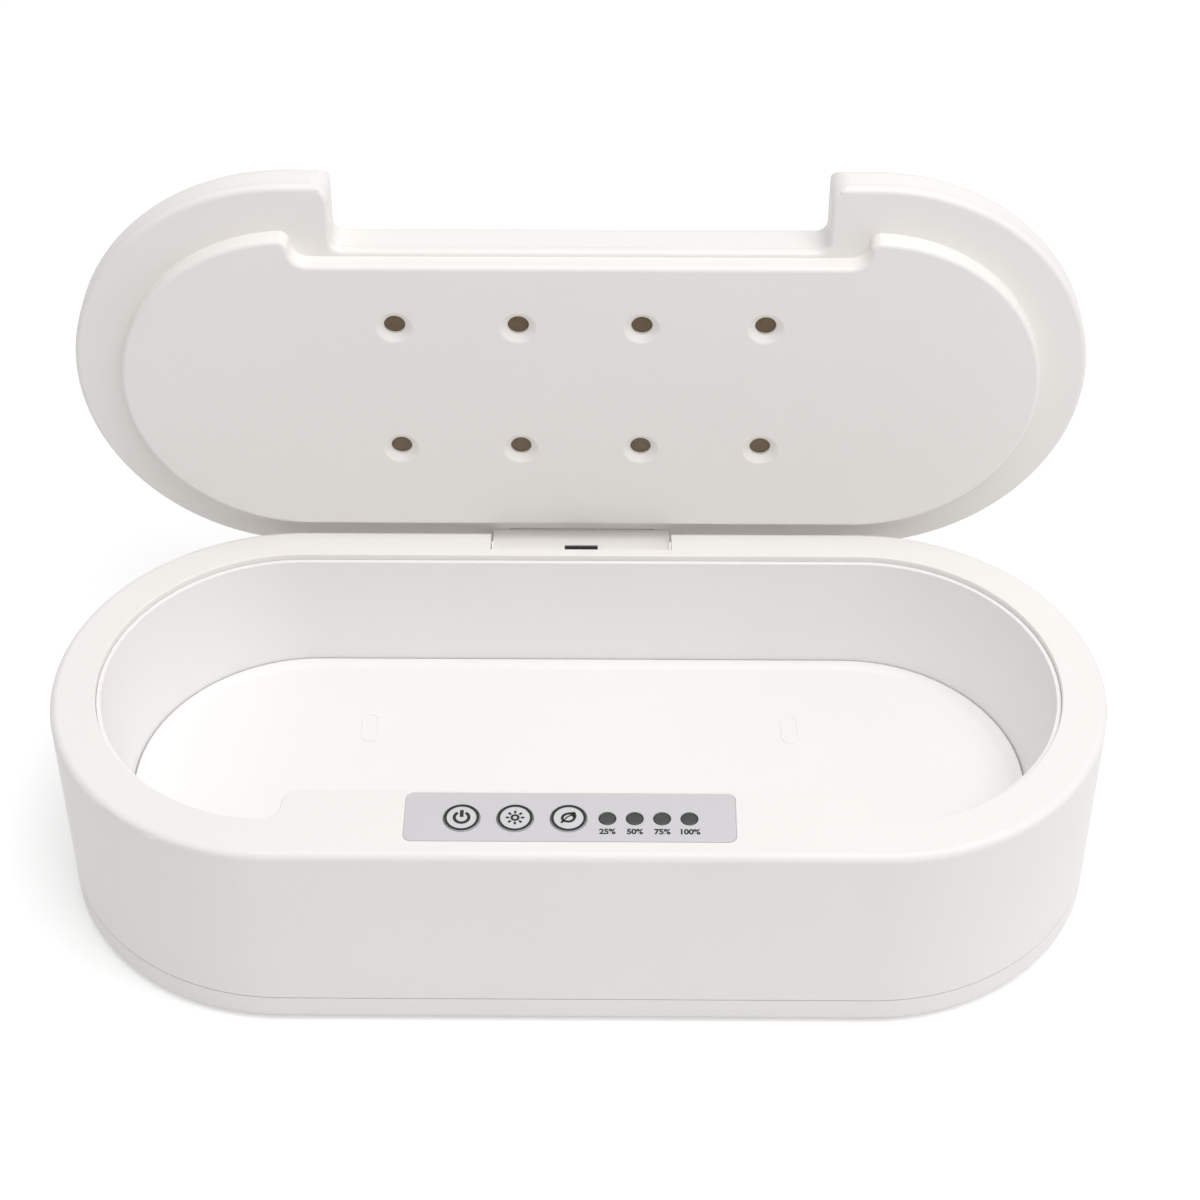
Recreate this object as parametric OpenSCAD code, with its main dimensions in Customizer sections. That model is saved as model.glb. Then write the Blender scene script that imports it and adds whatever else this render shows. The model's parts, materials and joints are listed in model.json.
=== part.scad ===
// Tabletop UV sanitizer box for a phone: a capsule-shaped base with a drafted
// cavity, and a lid on a rear hinge, drawn with the lid standing open.
// Millimetres, +X to the right, +Y to the back, +Z up, origin on the table
// under the centre of the base.

/* [Overall] */
// Length of the base, end to end
base_length = 280; // [272:1:290]
// Width of the base, front to back
base_width = 124.8; // [122:0.2:128]
// Height of the rim above the table
base_height = 64; // [62:0.5:70]
// Height that the feet lift the bottom cover
foot_lift = 1; // [0.6:0.1:1.6]
// Outer wall thickness of the base
base_wall = 2.4; // [2:0.1:2.8]
// Thickness of the rim and ledge
rim_thickness = 2.4; // [2:0.1:3]
// Rounding of the rim's outer edge
rim_round = 2.2; // [1.8:0.1:2.4]
// Height of the seam between base shell and bottom cover
seam_height = 9.2; // [8.5:0.1:10]
// Width of the seam groove
seam_gap = 0.3; // [0.1:0.1:0.5]

/* [Cavity] */
// Width of the rim at the two ends
rim_end_width = 11.8; // [10:0.1:12]
// Width of the rim along the back
rim_back_width = 10.6; // [10:0.1:11]
// Width of the rim along the front, beside the ledge
rim_front_width = 12.6; // [11:0.1:13]
// Step from the rim down to the tub's lip
lip_drop = 1.7; // [1:0.1:2.2]
// Visible width of the tub's lip
lip_width = 1.3; // [1:0.1:1.8]
// Wall thickness of the tub
tub_wall = 2; // [1.6:0.1:2.2]
// Height of the cavity floor above the table
floor_height = 26.5; // [26:0.1:30]
// How far the end walls lean in from lip to floor
end_draft = 4.9; // [3:0.1:6]
// How far the side walls lean in from lip to floor
side_draft = 1.9; // [1:0.1:3]
// Thickness of the floor tray
tray_thickness = 1.2; // [1:0.1:1.6]
// Gap between the tray's edge and the tub wall
tray_gap = 0.3; // [0.2:0.1:0.6]
// Distance of each oval floor pad from the middle
pad_x = 58.7; // [50:0.1:65]
// Place of the floor pads, front to back
pad_y = 21; // [10:0.1:25]

/* [Ledge and keys] */
// Half width of the front ledge
ledge_half = 75; // [72:0.1:76]
// Depth of the ledge from the base's front
ledge_depth = 22.9; // [22:0.1:24]
// Radius of the ledge's corners
ledge_round = 4.4; // [3:0.1:4.6]
// Radius of the curve that leads from the ledge into the rim
ledge_flare = 5.6; // [4:0.1:5.7]
// Width of the control label
label_width = 83.6; // [82:0.1:88]
// Depth of the control label
label_depth = 16.6; // [15:0.1:16.8]
// Thickness of the control label
label_thickness = 0.4; // [0.3:0.05:0.6]
// Sideways shift of the label
label_shift = -1.5; // [-2:0.1:0]
// Distance of the label's middle from the base's front
label_inset = 13.8; // [13.6:0.1:14]
// Rounding of the label's corners
label_round = 2; // [1:0.1:3]
// Distance of the key row from the base's front
key_inset = 13.35; // [13.1:0.05:13.6]
// Place of the first key
key_first_x = -28.9; // [-30:0.1:-28]
// Spacing of the keys
key_pitch = 13.5; // [12:0.1:14]
// Diameter of a key
key_dia = 9.1; // [8:0.1:9.6]
// Clearance round a key
key_gap = 0.2; // [0.15:0.05:0.3]
// How far a key stands above the label
key_proud = 0.2; // [0.1:0.05:0.4]
// Travel of a key
key_travel = 0.35; // [0.25:0.05:0.5]
// Place of the first indicator
dot_first_x = 7.9; // [7:0.1:9]
// Spacing of the indicators
dot_pitch = 6.9; // [6:0.1:7.2]
// Diameter of an indicator
dot_dia = 4.2; // [3.6:0.1:4.4]

/* [Lid] */
// How far the lid's ends lie inside the base's
lid_end_inset = 3.4; // [2:0.1:4]
// How far the lid's sides lie inside the base's
lid_side_inset = 2.2; // [2:0.1:3]
// Height of the lid
lid_height = 11.7; // [11:0.1:13]
// Rounding of the lid's top edge
lid_round = 4.8; // [3:0.1:5]
// Rounding of the lid's lower edge
lid_low_round = 1.5; // [0.5:0.1:1.8]
// Width of the seam between the lid's shell and panel
lid_seam = 0.05; // [0.05:0.05:0.3]
// Side wall thickness of the lid
lid_wall = 1.4; // [1.3:0.1:1.5]
// Top thickness of the lid
lid_top = 2; // [1.8:0.1:2.4]
// Gap between lid and rim when shut
lid_gap = 0.4; // [0.35:0.05:0.5]
// Half width of the notch in the lid's front
notch_half = 65; // [62:0.1:66]
// Radius of the notch's inner corners
notch_round = 3; // [2:0.1:5]
// Radius of the notch's outer corners
notch_flare = 5; // [4:0.1:6]
// How far the notch's wall lies in front of the ledge's inner edge
notch_step = 0.8; // [0.6:0.1:0.8]
// Depth of the raised plate below the band
plate_depth = 5; // [4.6:0.1:5.2]
// Thickness of the lid panel
panel_thickness = 2.4; // [1.8:0.1:2.6]
// Clearance between the raised plate and the tub's lip at the ends
plate_end_gap = 3.2; // [1.6:0.1:3.4]
// Clearance between the raised plate and the tub's lip at the sides
plate_side_gap = 1.6; // [1.5:0.1:2.2]
// Clearance between the raised plate and the ledge
ledge_gap = 0.6; // [0.5:0.1:1.2]
// Columns of lights
uv_columns = 4; // [2:1:4]
// Rows of lights
uv_rows = 2; // [1:1:2]
// Spacing of the light columns
uv_pitch_x = 32.8; // [28:0.1:34]
// Spacing of the light rows
uv_pitch_y = 40.9; // [38:0.1:42]
// Diameter of the bore over each window
uv_bore = 5.7; // [5:0.1:6]
// Diameter of the countersink's mouth
uv_mouth = 9.6; // [8:0.1:10]
// Depth of the countersink
uv_sink = 1.6; // [0.8:0.1:1.8]

/* [Hinge] */
// Distance of the hinge pin from the base's rear face
pin_inset = 3.5; // [3.3:0.1:3.6]
// Depth of the hinge pin below the rim
pin_drop = 7; // [6.9:0.1:7.4]
// Diameter of the hinge pin
pin_dia = 3; // [2.6:0.1:3.2]
// Length of the hinge pin
pin_length = 64; // [60:1:66]
// Radius of the hinge barrel
barrel_r = 4.2; // [4:0.1:4.4]
// Half width of the hinge block
arm_half = 24.9; // [22:0.1:25]
// Gap at each end of the hinge block
arm_gap = 0.5; // [0.4:0.1:0.8]
// Running clearance of the pin
pin_clear = 0.05; // [0.03:0.01:0.08]
// Opening angle of the lid
lid_angle = 90; // [88:1:90]
// Width of the slot in the hinge block
slot_width = 9.3; // [8:0.1:11]

/* [Inside] */
// Diameter of a battery cell
cell_dia = 18.4; // [18:0.1:18.6]
// Length of a battery cell
cell_length = 65; // [60:1:66]
// Spacing of the two cells
cell_pitch = 20; // [19.5:0.1:21]
// Thickness of the circuit boards
board_thickness = 1.6; // [1:0.2:1.6]
// Length of the main board
main_length = 54; // [52:1:55]
// Width of the main board
main_width = 48; // [46:1:48]
// Height of the main board's posts
post_height = 8.8; // [8:0.1:10]
// Diameter of a foot
foot_dia = 12; // [10:0.5:14]
// Place of the feet, left and right
foot_x = 100; // [90:1:105]
// Place of the feet, front and back
foot_y = 35; // [28:1:40]

/* [Hidden] */
$fn = 72;
eps = 0.01;

half_l = base_length / 2;
half_w = base_width / 2;
cover_bottom = foot_lift;
cover_floor = cover_bottom + 2.2;
shell_bottom = seam_height + seam_gap;
rim_under = base_height - rim_thickness;

open_l = half_l - rim_end_width;
open_w = half_w - (rim_back_width + rim_front_width) / 2;
open_y = (rim_front_width - rim_back_width) / 2;
open_front = open_w - open_y;
lip_z = base_height - lip_drop;
lip_l = open_l - lip_width;
lip_w = open_w - lip_width;
lip_gap = 0.1;
floor_l = lip_l - end_draft;
floor_w = lip_w - side_draft;
tub_floor = floor_height - tray_thickness;
tub_under = tub_floor - tub_wall;

ledge_reach = half_w - ledge_depth;
key_y = key_inset - half_w;
label_y = label_inset - half_w;
key_xs = [for (i = [0:2]) key_first_x + i * key_pitch];
dot_xs = [for (i = [0:3]) dot_first_x + i * dot_pitch];
key_r = key_dia / 2;
key_hole_r = key_r + key_gap;
key_flange_r = key_r + 1.05;
key_flange_top = rim_under - 0.1;
key_flange_under = key_flange_top - 1.3;
dot_r = dot_dia / 2;
dot_hole_r = dot_r + 0.05;
dot_flange_r = dot_r + 0.65;

control_top = rim_under - 8;
control_under = control_top - board_thickness;
switch_size = 6;
switch_h = 3.5;
actuator_r = 1.7;
actuator_h = 1;
stem_bottom = control_top + switch_h + actuator_h + key_travel + 0.05;
control_length = 80;
control_back = key_y + 6.55;
control_front = key_y - 8.95;
control_post_x = 36.5;
control_post_ys = [key_y + 3.55, key_y - 6.45];
post_r = 2.4;

pin_y = half_w - pin_inset;
pin_z = base_height - pin_drop;
pin_r = pin_dia / 2;
pocket_half = arm_half + arm_gap;
pocket_front = pin_y - barrel_r - 0.3;
pocket_floor = pin_z - barrel_r - 0.4;
pocket_wall = 1.3;
ear_thickness = 7.6;
arm_back = half_w - 0.3;
sill_top = pin_z - (arm_back - pin_y) - 0.05;
sill_reach = 2.6;

lid_l = half_l - lid_end_inset;
lid_w = half_w - lid_side_inset;
lid_z = base_height + lid_gap;
lid_inner_top = lid_z + lid_height - lid_top;
panel_top = lid_z + panel_thickness;
plate_z = lid_z - plate_depth;
plate_top = plate_z + panel_thickness;
shell_z = panel_top + lid_seam;
notch_reach = ledge_reach + notch_step;
plate_l = lip_l - plate_end_gap;
plate_w = lip_w - plate_side_gap;
plate_front = plate_w - open_y;
plate_side = 1.8;
plate_notch_half = ledge_half + ledge_gap;
plate_notch_reach = ledge_reach - ledge_gap;
plate_notch_round = ledge_round + ledge_gap;
plate_flare = plate_front - plate_notch_reach - plate_notch_round - 0.05;
uv_row_ys = [for (j = [0:uv_rows - 1]) open_y + (j - (uv_rows - 1) / 2) * uv_pitch_y];
uv_points = [for (i = [0:uv_columns - 1], j = [0:uv_rows - 1])
    [(i - (uv_columns - 1) / 2) * uv_pitch_x, uv_row_ys[j]]];
window_r = uv_bore / 2 + 0.75;
window_t = 1;
seat_r = window_r + 1.2;
led_size = 3.5;
led_h = 1.6;
lid_board_z = plate_top + window_t + 0.4 + led_h;
lid_board_length = (uv_columns - 1) * uv_pitch_x + 22;
lid_board_width = 12;
lid_post_x = lid_board_length / 2 - 3.5;
arm_top_back = lid_w - lid_wall - 0.1;
tongue_half = arm_half - 4.9;
tongue_front = pin_y - barrel_r;
foot_plate_front = tongue_front - 14;
foot_plate_z = panel_top + 0.1;
foot_plate_t = 3;
arm_screw_xs = [-14, 14];
arm_screw_ys = [tongue_front - 3.6, tongue_front - 10.4];

side_boss_x = half_l - half_w - 1.6;
cover_boss_points = [[half_l - 8.5, 0], [8.5 - half_l, 0], for (sx = [-1, 1], sy = [-1, 1])
    [sx * side_boss_x, sy * (half_w - 6.1)]];
shell_boss_r = 3.6;
cover_boss_r = 4.2;
shell_boss_top = 22;
screw_r = 1.48;
screw_fit = 0.02;
rear_tab_x = pocket_half + ear_thickness + 17;
front_tab_x = ledge_half + 9;
front_tab_turn = max(0, front_tab_x - half_l + half_w);
front_tab_y = -sqrt(pow(half_w - 6.8, 2) - pow(front_tab_turn, 2));
tub_tab_points = [[half_l - 8, 0], [8 - half_l, 0], for (side = [-1, 1]) each
    [[side * rear_tab_x, half_w - 6.4], [side * front_tab_x, front_tab_y]]];
tub_tab_r = 3.8;
tub_tab_top = rim_under - 3.6;
tub_tab_t = 2;
tub_boss_r = 3.2;
small_screw_r = 1.2;
cover_screw_l = 13.5;
tub_screw_l = 5.8;
control_screw_l = 5;
board_screw_l = 7;
lid_board_screw_l = 4;
arm_screw_l = 5;

sensor_angle = -65;
sensor_radius = half_w - 6.4;
sensor_centre = [half_l - half_w + sensor_radius * cos(sensor_angle), sensor_radius * sin(sensor_angle)];
magnet_radius = lid_w - 6.9;
magnet_centre = [half_l - half_w + magnet_radius * cos(sensor_angle), magnet_radius * sin(sensor_angle)];

cell_r = cell_dia / 2;
cell_z = cover_floor + cell_r + 0.1;
cell_left = -85;
cell_right = cell_left + cell_length;
holder_wall = 1.6;
holder_gap = 0.5;
holder_top = cover_floor + 10.8;
main_left = 15;
main_front = 5;
main_back = main_front + main_width;
main_under = cover_floor + post_height;
main_top = main_under + board_thickness;
main_post_xs = [main_left + 5, main_left + main_length - 5];
main_post_ys = [main_front + 5, main_back - 5];
usb_x = 45;
usb_w = 9;
usb_h = 3.2;
usb_mouth = half_w - 0.7;
usb_depth = 11;
usb_z = main_top + usb_h / 2;
lead_r = 0.8;
loom_r = 0.7;
loom_y = pin_y - 2.75;
slot_low = pin_z - 4.5;
slot_high = pin_z + 0.65;
slot_back = pin_y - 1.8;
lead_z = main_top + lead_r + 0.8;
ribbon_x = 28;
ribbon_w = 10;
ribbon_t = 0.4;
ribbon_y = control_back - 3.5;
plug_h = 3;
plug_depth = 4;
ribbon_plug_w = ribbon_w + 1;
battery_plug_w = 7;
battery_plug_depth = 5;
hinge_plug_w = 6;
chip_size = 12;
chip_h = 1.6;
coil_size = 9;
coil_h = 4;
battery_plug_y = main_front + 12.5;
hinge_plug_x = main_left + 12;

warm_white = [0.93, 0.92, 0.9];
soft_white = [0.9, 0.89, 0.87];
label_grey = [0.82, 0.82, 0.83];
dark_grey = [0.25, 0.25, 0.26];
board_green = [0.1, 0.4, 0.25];
steel = [0.75, 0.76, 0.78];

// Capsule outline, half length hx and half width hy
module stadium(hx, hy) {
    square([2 * (hx - hy), 2 * hy], center = true);
    translate([hx - hy, 0]) circle(r = hy);
    translate([hy - hx, 0]) circle(r = hy);
}

// Front bay: half width hw, inner edge at -reach, flaring out into a line at -line
module bay(hw, reach, line, corner_r, flare_r) {
    depth = 40;
    translate([corner_r - hw, -reach - depth]) square([2 * (hw - corner_r), depth]);
    translate([-hw, -reach - depth]) square([2 * hw, depth - corner_r]);
    for (side = [0, 1]) mirror([side, 0]) {
        translate([hw - corner_r, -reach - corner_r]) circle(r = corner_r);
        difference() {
            translate([hw - eps, -line - depth]) square([flare_r + eps, depth + flare_r]);
            translate([hw + flare_r, flare_r - line]) circle(r = flare_r);
        }
    }
}

// Half of a block's cross-section, with its outer top corner rounded
module block_section(reach, height, edge_r) {
    square([reach - edge_r, height]);
    square([reach, height - edge_r]);
    translate([reach - edge_r, height - edge_r]) intersection() {
        circle(r = edge_r);
        square(edge_r);
    }
}

// Capsule block standing on z = 0 with its top edge rounded
module round_block(hx, hy, height, edge_r) {
    for (side = [0, 1]) mirror([side, 0, 0]) translate([hx - hy, 0, 0]) rotate([0, 0, -90])
        rotate_extrude(angle = 180) block_section(hy, height, edge_r);
    rotate([90, 0, 90]) linear_extrude(2 * (hx - hy), center = true)
        for (side = [0, 1]) mirror([side, 0]) block_section(hy, height, edge_r);
}

// Drafted capsule block between two heights, centred on the opening
module drafted_block(low_l, low_w, low_z, top_l, top_w, top_z) {
    translate([0, open_y, 0]) hull() {
        translate([0, 0, low_z]) linear_extrude(eps) stadium(low_l, low_w);
        translate([0, 0, top_z - eps]) linear_extrude(eps) stadium(top_l, top_w);
    }
}

module ledge_outline(inset) {
    bay(ledge_half - inset, ledge_reach + inset, open_front + inset,
        ledge_round - inset, ledge_flare + inset);
}

// Outline of the opening that the rim leaves, grown by a margin
module opening_outline(margin) {
    difference() {
        translate([0, open_y]) stadium(open_l + margin, open_w + margin);
        ledge_outline(margin);
    }
}

// Screw with its head up and its shank down, origin under the head
module screw(shank_r, shank_l, head_r, head_h) {
    translate([0, 0, -shank_l]) cylinder(r = shank_r, h = shank_l + eps);
    difference() {
        cylinder(r = head_r, h = head_h);
        translate([0, 0, head_h / 2]) cylinder(r = head_r / 2, h = head_h, $fn = 6);
    }
}

// Wire from point to point, with round corners
module wire(points, r) {
    for (i = [0:len(points) - 2]) {
        step = points[i + 1] - points[i];
        run = norm(step);
        translate(points[i])
            rotate([0, acos(step[2] / run), atan2(step[1], step[0])])
                cylinder(r = r, h = run, $fn = 24);
    }
    if (len(points) > 2) for (i = [1:len(points) - 2]) translate(points[i]) sphere(r = r, $fn = 24);
}

// Takes the lid from shut to its open rest place
module lid_open() {
    translate([0, pin_y, pin_z]) rotate([-lid_angle, 0, 0]) translate([0, -pin_y, -pin_z]) children();
}

module pin_hole(radius, half_length) {
    translate([-half_length, pin_y, pin_z]) rotate([0, 90, 0]) cylinder(r = radius, h = 2 * half_length);
}

// Hinge pocket's walls and ears, with the sill behind that stops the open lid
module hinge_housing() {
    outer_half = pocket_half + ear_thickness;
    translate([-outer_half, pocket_front - pocket_wall, pocket_floor - 2])
        cube([2 * outer_half, half_w - 1 - pocket_front + pocket_wall, rim_under - pocket_floor + 2 + eps]);
    translate([-arm_half + 4, half_w - 1, sill_top - 3])
        cube([2 * arm_half - 8, 1 + sill_reach, 3]);
}

module base_shell() color(warm_white) difference() {
    union() {
        difference() {
            translate([0, 0, shell_bottom])
                round_block(half_l, half_w, base_height - shell_bottom, rim_round);
            translate([0, 0, shell_bottom - 1]) linear_extrude(rim_under - shell_bottom + 1)
                stadium(half_l - base_wall, half_w - base_wall);
        }
        hinge_housing();
        for (p = cover_boss_points) {
            translate([p[0], p[1], seam_height]) cylinder(r = shell_boss_r, h = shell_boss_top - seam_height);
            if (p[1] != 0) translate([p[0] - shell_boss_r, p[1] > 0 ? p[1] : -half_w + 1, shell_bottom])
                cube([2 * shell_boss_r, half_w - 1 - abs(p[1]), shell_boss_top - shell_bottom]);
            if (p[1] == 0) translate([p[0] > 0 ? p[0] : 1 - half_l, -shell_boss_r, shell_bottom])
                cube([half_l - 1 - abs(p[0]), 2 * shell_boss_r, shell_boss_top - shell_bottom]);
        }
        for (p = tub_tab_points) translate([p[0], p[1], tub_tab_top])
            cylinder(r = tub_boss_r, h = rim_under - tub_tab_top + eps);
        for (x = [-control_post_x, control_post_x], y = control_post_ys) translate([x, y, control_top])
            cylinder(r = post_r, h = rim_under - control_top + eps);
    }
    translate([0, 0, rim_under - eps]) linear_extrude(rim_thickness + 1) opening_outline(0);
    translate([label_shift, label_y, base_height - label_thickness]) linear_extrude(1)
        label_outline(0.1);
    for (x = key_xs) translate([x, key_y, rim_under - 1]) cylinder(r = key_hole_r, h = rim_thickness + 2);
    for (x = dot_xs) translate([x, key_y, rim_under - 1]) cylinder(r = dot_hole_r, h = rim_thickness + 2);
    for (p = cover_boss_points) translate([p[0], p[1], seam_height - 1])
        cylinder(r = screw_r + screw_fit, h = 10.5);
    for (p = tub_tab_points) translate([p[0], p[1], tub_tab_top - 1])
        cylinder(r = small_screw_r + screw_fit, h = 5.2);
    for (x = [-control_post_x, control_post_x], y = control_post_ys) translate([x, y, control_top - 1])
        cylinder(r = small_screw_r + screw_fit, h = 6.2);
    translate([-pocket_half, pocket_front, pocket_floor])
        cube([2 * pocket_half, 20, base_height]);
    pin_hole(pin_r + screw_fit, pocket_half + ear_thickness + 1);
    translate([0, loom_y, pocket_floor - 3]) cylinder(r = loom_r + 0.25, h = 4);
    translate([usb_x, half_w + 1, usb_z]) rotate([90, 0, 0]) linear_extrude(base_wall + 2)
        usb_outline(0.25);
}

// Label outline, grown by a margin
module label_outline(margin) {
    corner_r = label_round + margin;
    long = label_width / 2 + margin;
    deep = label_depth / 2 + margin;
    square([2 * long, 2 * (deep - corner_r)], center = true);
    square([2 * (long - corner_r), 2 * deep], center = true);
    for (sx = [-1, 1], sy = [-1, 1]) translate([sx * (long - corner_r), sy * (deep - corner_r)])
        circle(r = corner_r);
}

// Socket outline, grown by a margin
module usb_outline(margin) {
    side_r = usb_h / 2 + margin;
    square([usb_w - usb_h, 2 * side_r], center = true);
    for (side = [-1, 1]) translate([side * (usb_w - usb_h) / 2, 0]) circle(r = side_r);
}

module bottom_cover() color(warm_white) difference() {
    tongue_gap = 0.15;
    tongue_in = base_wall + tongue_gap + 1.2;
    union() {
        difference() {
            translate([0, 0, seam_height]) mirror([0, 0, 1])
                round_block(half_l, half_w, seam_height - cover_bottom, 2.5);
            translate([0, 0, cover_floor]) linear_extrude(seam_height)
                stadium(half_l - base_wall, half_w - base_wall);
        }
        difference() {
            translate([0, 0, cover_floor + 1]) linear_extrude(seam_height + 2 - cover_floor - 1)
                stadium(half_l - base_wall - tongue_gap, half_w - base_wall - tongue_gap);
            translate([0, 0, cover_floor]) linear_extrude(seam_height)
                stadium(half_l - tongue_in, half_w - tongue_in);
            for (p = cover_boss_points) translate([p[0], p[1], seam_height])
                cube([4 * shell_boss_r, 4 * shell_boss_r, 2 * seam_height], center = true);
        }
        difference() {
            linear_extrude(seam_height) tongue_root();
            translate([0, 0, -1]) linear_extrude(cover_floor + 2) stadium(half_l, half_w);
        }
        for (p = cover_boss_points) translate([p[0], p[1], cover_bottom + 1])
            cylinder(r = cover_boss_r, h = seam_height - cover_bottom - 1);
        for (x = main_post_xs, y = main_post_ys) translate([x, y, cover_floor - eps])
            cylinder(r = post_r, h = main_under - cover_floor + eps);
    }
    for (p = cover_boss_points) {
        translate([p[0], p[1], 0]) cylinder(r = 1.7, h = seam_height + 3);
        translate([p[0], p[1], 0]) cylinder(r = 3.1, h = cover_bottom + 3);
    }
    for (x = [-foot_x, foot_x], y = [-foot_y, foot_y]) translate([x, y, 0])
        cylinder(d = foot_dia + 0.1, h = cover_bottom + 0.6);
    for (x = main_post_xs, y = main_post_ys) translate([x, y, cover_floor + 1])
        cylinder(r = small_screw_r + screw_fit, h = 12);
}

// Band that joins the tongue to the cover's wall
module tongue_root() {
    difference() {
        stadium(half_l - base_wall + eps, half_w - base_wall + eps);
        stadium(half_l - base_wall - 1, half_w - base_wall - 1);
    }
}

module cavity_tub() color(soft_white) difference() {
    union() {
        difference() {
            drafted_block(floor_l + tub_wall, floor_w + tub_wall, tub_under,
                lip_l + tub_wall, lip_w + tub_wall, lip_z);
            translate([0, 0, tub_under - 1]) linear_extrude(base_height) ledge_outline(tub_wall);
            translate([0, 0, rim_under]) linear_extrude(base_height) difference() {
                square([3 * half_l, 3 * half_w], center = true);
                opening_outline(-lip_gap);
            }
        }
        for (p = tub_tab_points) tub_tab(p);
    }
    difference() {
        drafted_block(floor_l, floor_w, tub_floor, lip_l, lip_w, lip_z + eps);
        linear_extrude(base_height + 1) ledge_outline(0);
    }
    for (p = tub_tab_points) translate([p[0], p[1], tub_tab_top - tub_tab_t - 1])
        cylinder(r = small_screw_r + 0.2, h = tub_tab_t + 2);
}

// Screw tab that reaches from the tub wall out to point p
module tub_tab(p) {
    inward = p[1] == 0 ? 5 : 7;
    translate([0, 0, tub_tab_top - tub_tab_t]) linear_extrude(tub_tab_t) {
        translate(p) circle(r = tub_tab_r);
        if (p[1] == 0) translate([p[0] > 0 ? p[0] - inward : p[0], -tub_tab_r])
            square([inward, 2 * tub_tab_r]);
        else translate([p[0] - tub_tab_r, p[1] > 0 ? p[1] - inward : p[1]])
            square([2 * tub_tab_r, inward]);
    }
}

module floor_tray() color(soft_white) {
    translate([0, 0, tub_floor]) linear_extrude(tray_thickness) difference() {
        translate([0, open_y]) stadium(floor_l - tray_gap, floor_w - tray_gap);
        ledge_outline(-tray_gap);
    }
    for (side = [-1, 1]) translate([side * pad_x, pad_y, floor_height - eps]) linear_extrude(0.3 + eps)
        rotate(90) stadium(5.25, 2.25);
}

module control_label() color(label_grey)
    translate([0, 0, base_height - label_thickness]) linear_extrude(label_thickness) difference() {
        translate([label_shift, label_y]) label_outline(0);
        for (x = key_xs) translate([x, key_y]) circle(r = key_hole_r);
        for (x = dot_xs) translate([x, key_y]) circle(r = dot_hole_r);
    }

// Round key with its flange under the ledge and a stem above its switch
module key(x) color(label_grey) translate([x, key_y, 0]) {
    translate([0, 0, key_flange_top - eps]) cylinder(r = key_r, h = base_height + key_proud - key_flange_top);
    translate([0, 0, key_flange_under]) cylinder(r = key_flange_r, h = key_flange_top - key_flange_under);
    translate([0, 0, stem_bottom]) cylinder(r = 1.5, h = key_flange_under - stem_bottom + eps);
}

module power_key() key(key_xs[0]);
module uv_key() key(key_xs[1]);
module eco_key() key(key_xs[2]);

module indicator_lenses() color(dark_grey) for (x = dot_xs) translate([x, key_y, 0]) {
    translate([0, 0, control_top + 1.5]) cylinder(r = dot_r, h = base_height - control_top - 1.5);
    translate([0, 0, rim_under - 1.4]) cylinder(r = dot_flange_r, h = 1.4);
}

module control_board() color(board_green) difference() {
    union() {
        translate([-control_length / 2, control_front, control_under])
            cube([control_length, control_back - control_front, board_thickness]);
        translate([ribbon_x - ribbon_plug_w / 2, ribbon_y - plug_depth / 2, control_under - plug_h])
            cube([ribbon_plug_w, plug_depth, plug_h + eps]);
    }
    for (x = [-control_post_x, control_post_x], y = control_post_ys) translate([x, y, control_under - 1])
        cylinder(r = small_screw_r + 0.1, h = board_thickness + 2);
}

module key_switches() color(dark_grey) for (x = key_xs) translate([x, key_y, control_top]) {
    translate([-switch_size / 2, -switch_size / 2, 0]) cube([switch_size, switch_size, switch_h]);
    cylinder(r = actuator_r, h = switch_h + actuator_h);
}

module indicator_leds() color("white") for (x = dot_xs)
    translate([x - 1.5, key_y - 1.3, control_top]) cube([3, 2.6, 1.4]);

module control_screws() color(steel)
    for (x = [-control_post_x, control_post_x], y = control_post_ys) translate([x, y, control_under])
        mirror([0, 0, 1]) screw(small_screw_r, control_screw_l, 1.9, 1.2);

module control_ribbon() color("gainsboro") {
    top = control_under - plug_h;
    level = main_top + 0.8;
    translate([ribbon_x - ribbon_w / 2, ribbon_y - ribbon_t / 2, level])
        cube([ribbon_w, ribbon_t, top - level]);
    translate([ribbon_x - ribbon_w / 2, ribbon_y - ribbon_t / 2, level])
        cube([ribbon_w, main_front + 3 - ribbon_y, ribbon_t]);
}

module main_board() color(board_green) difference() {
    union() {
        translate([main_left, main_front, main_under]) cube([main_length, main_width, board_thickness]);
        translate([ribbon_x - ribbon_plug_w / 2, main_front + 3 - ribbon_t / 2, main_top - eps])
            cube([ribbon_plug_w, plug_depth, plug_h]);
        translate([main_left + 2, battery_plug_y - battery_plug_w / 2, main_top - eps])
            cube([battery_plug_depth, battery_plug_w, plug_h + 0.4]);
        translate([hinge_plug_x - hinge_plug_w / 2, main_back - 3.5 - plug_depth, main_top - eps])
            cube([hinge_plug_w, plug_depth, plug_h]);
        translate([main_left + 22, main_front + 15, main_top - eps]) cube([chip_size, chip_size, chip_h]);
        translate([main_left + 39, main_front + 12, main_top - eps]) cube([coil_size, coil_size, coil_h]);
    }
    for (x = main_post_xs, y = main_post_ys) translate([x, y, main_under - 1])
        cylinder(r = small_screw_r + 0.1, h = board_thickness + 2);
}

module usb_socket() color(steel) translate([usb_x, usb_mouth, usb_z]) rotate([90, 0, 0]) {
    difference() {
        linear_extrude(usb_depth) usb_outline(0);
        translate([0, 0, -1]) linear_extrude(usb_depth - 1.5) usb_outline(-0.3);
    }
    translate([-(usb_w - usb_h) / 2, -0.35, 0.8]) cube([usb_w - usb_h, 0.7, usb_depth - 1]);
}

module board_screws() color(steel)
    for (x = main_post_xs, y = main_post_ys) translate([x, y, main_top])
        screw(small_screw_r, board_screw_l, 2.1, 1.4);

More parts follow.
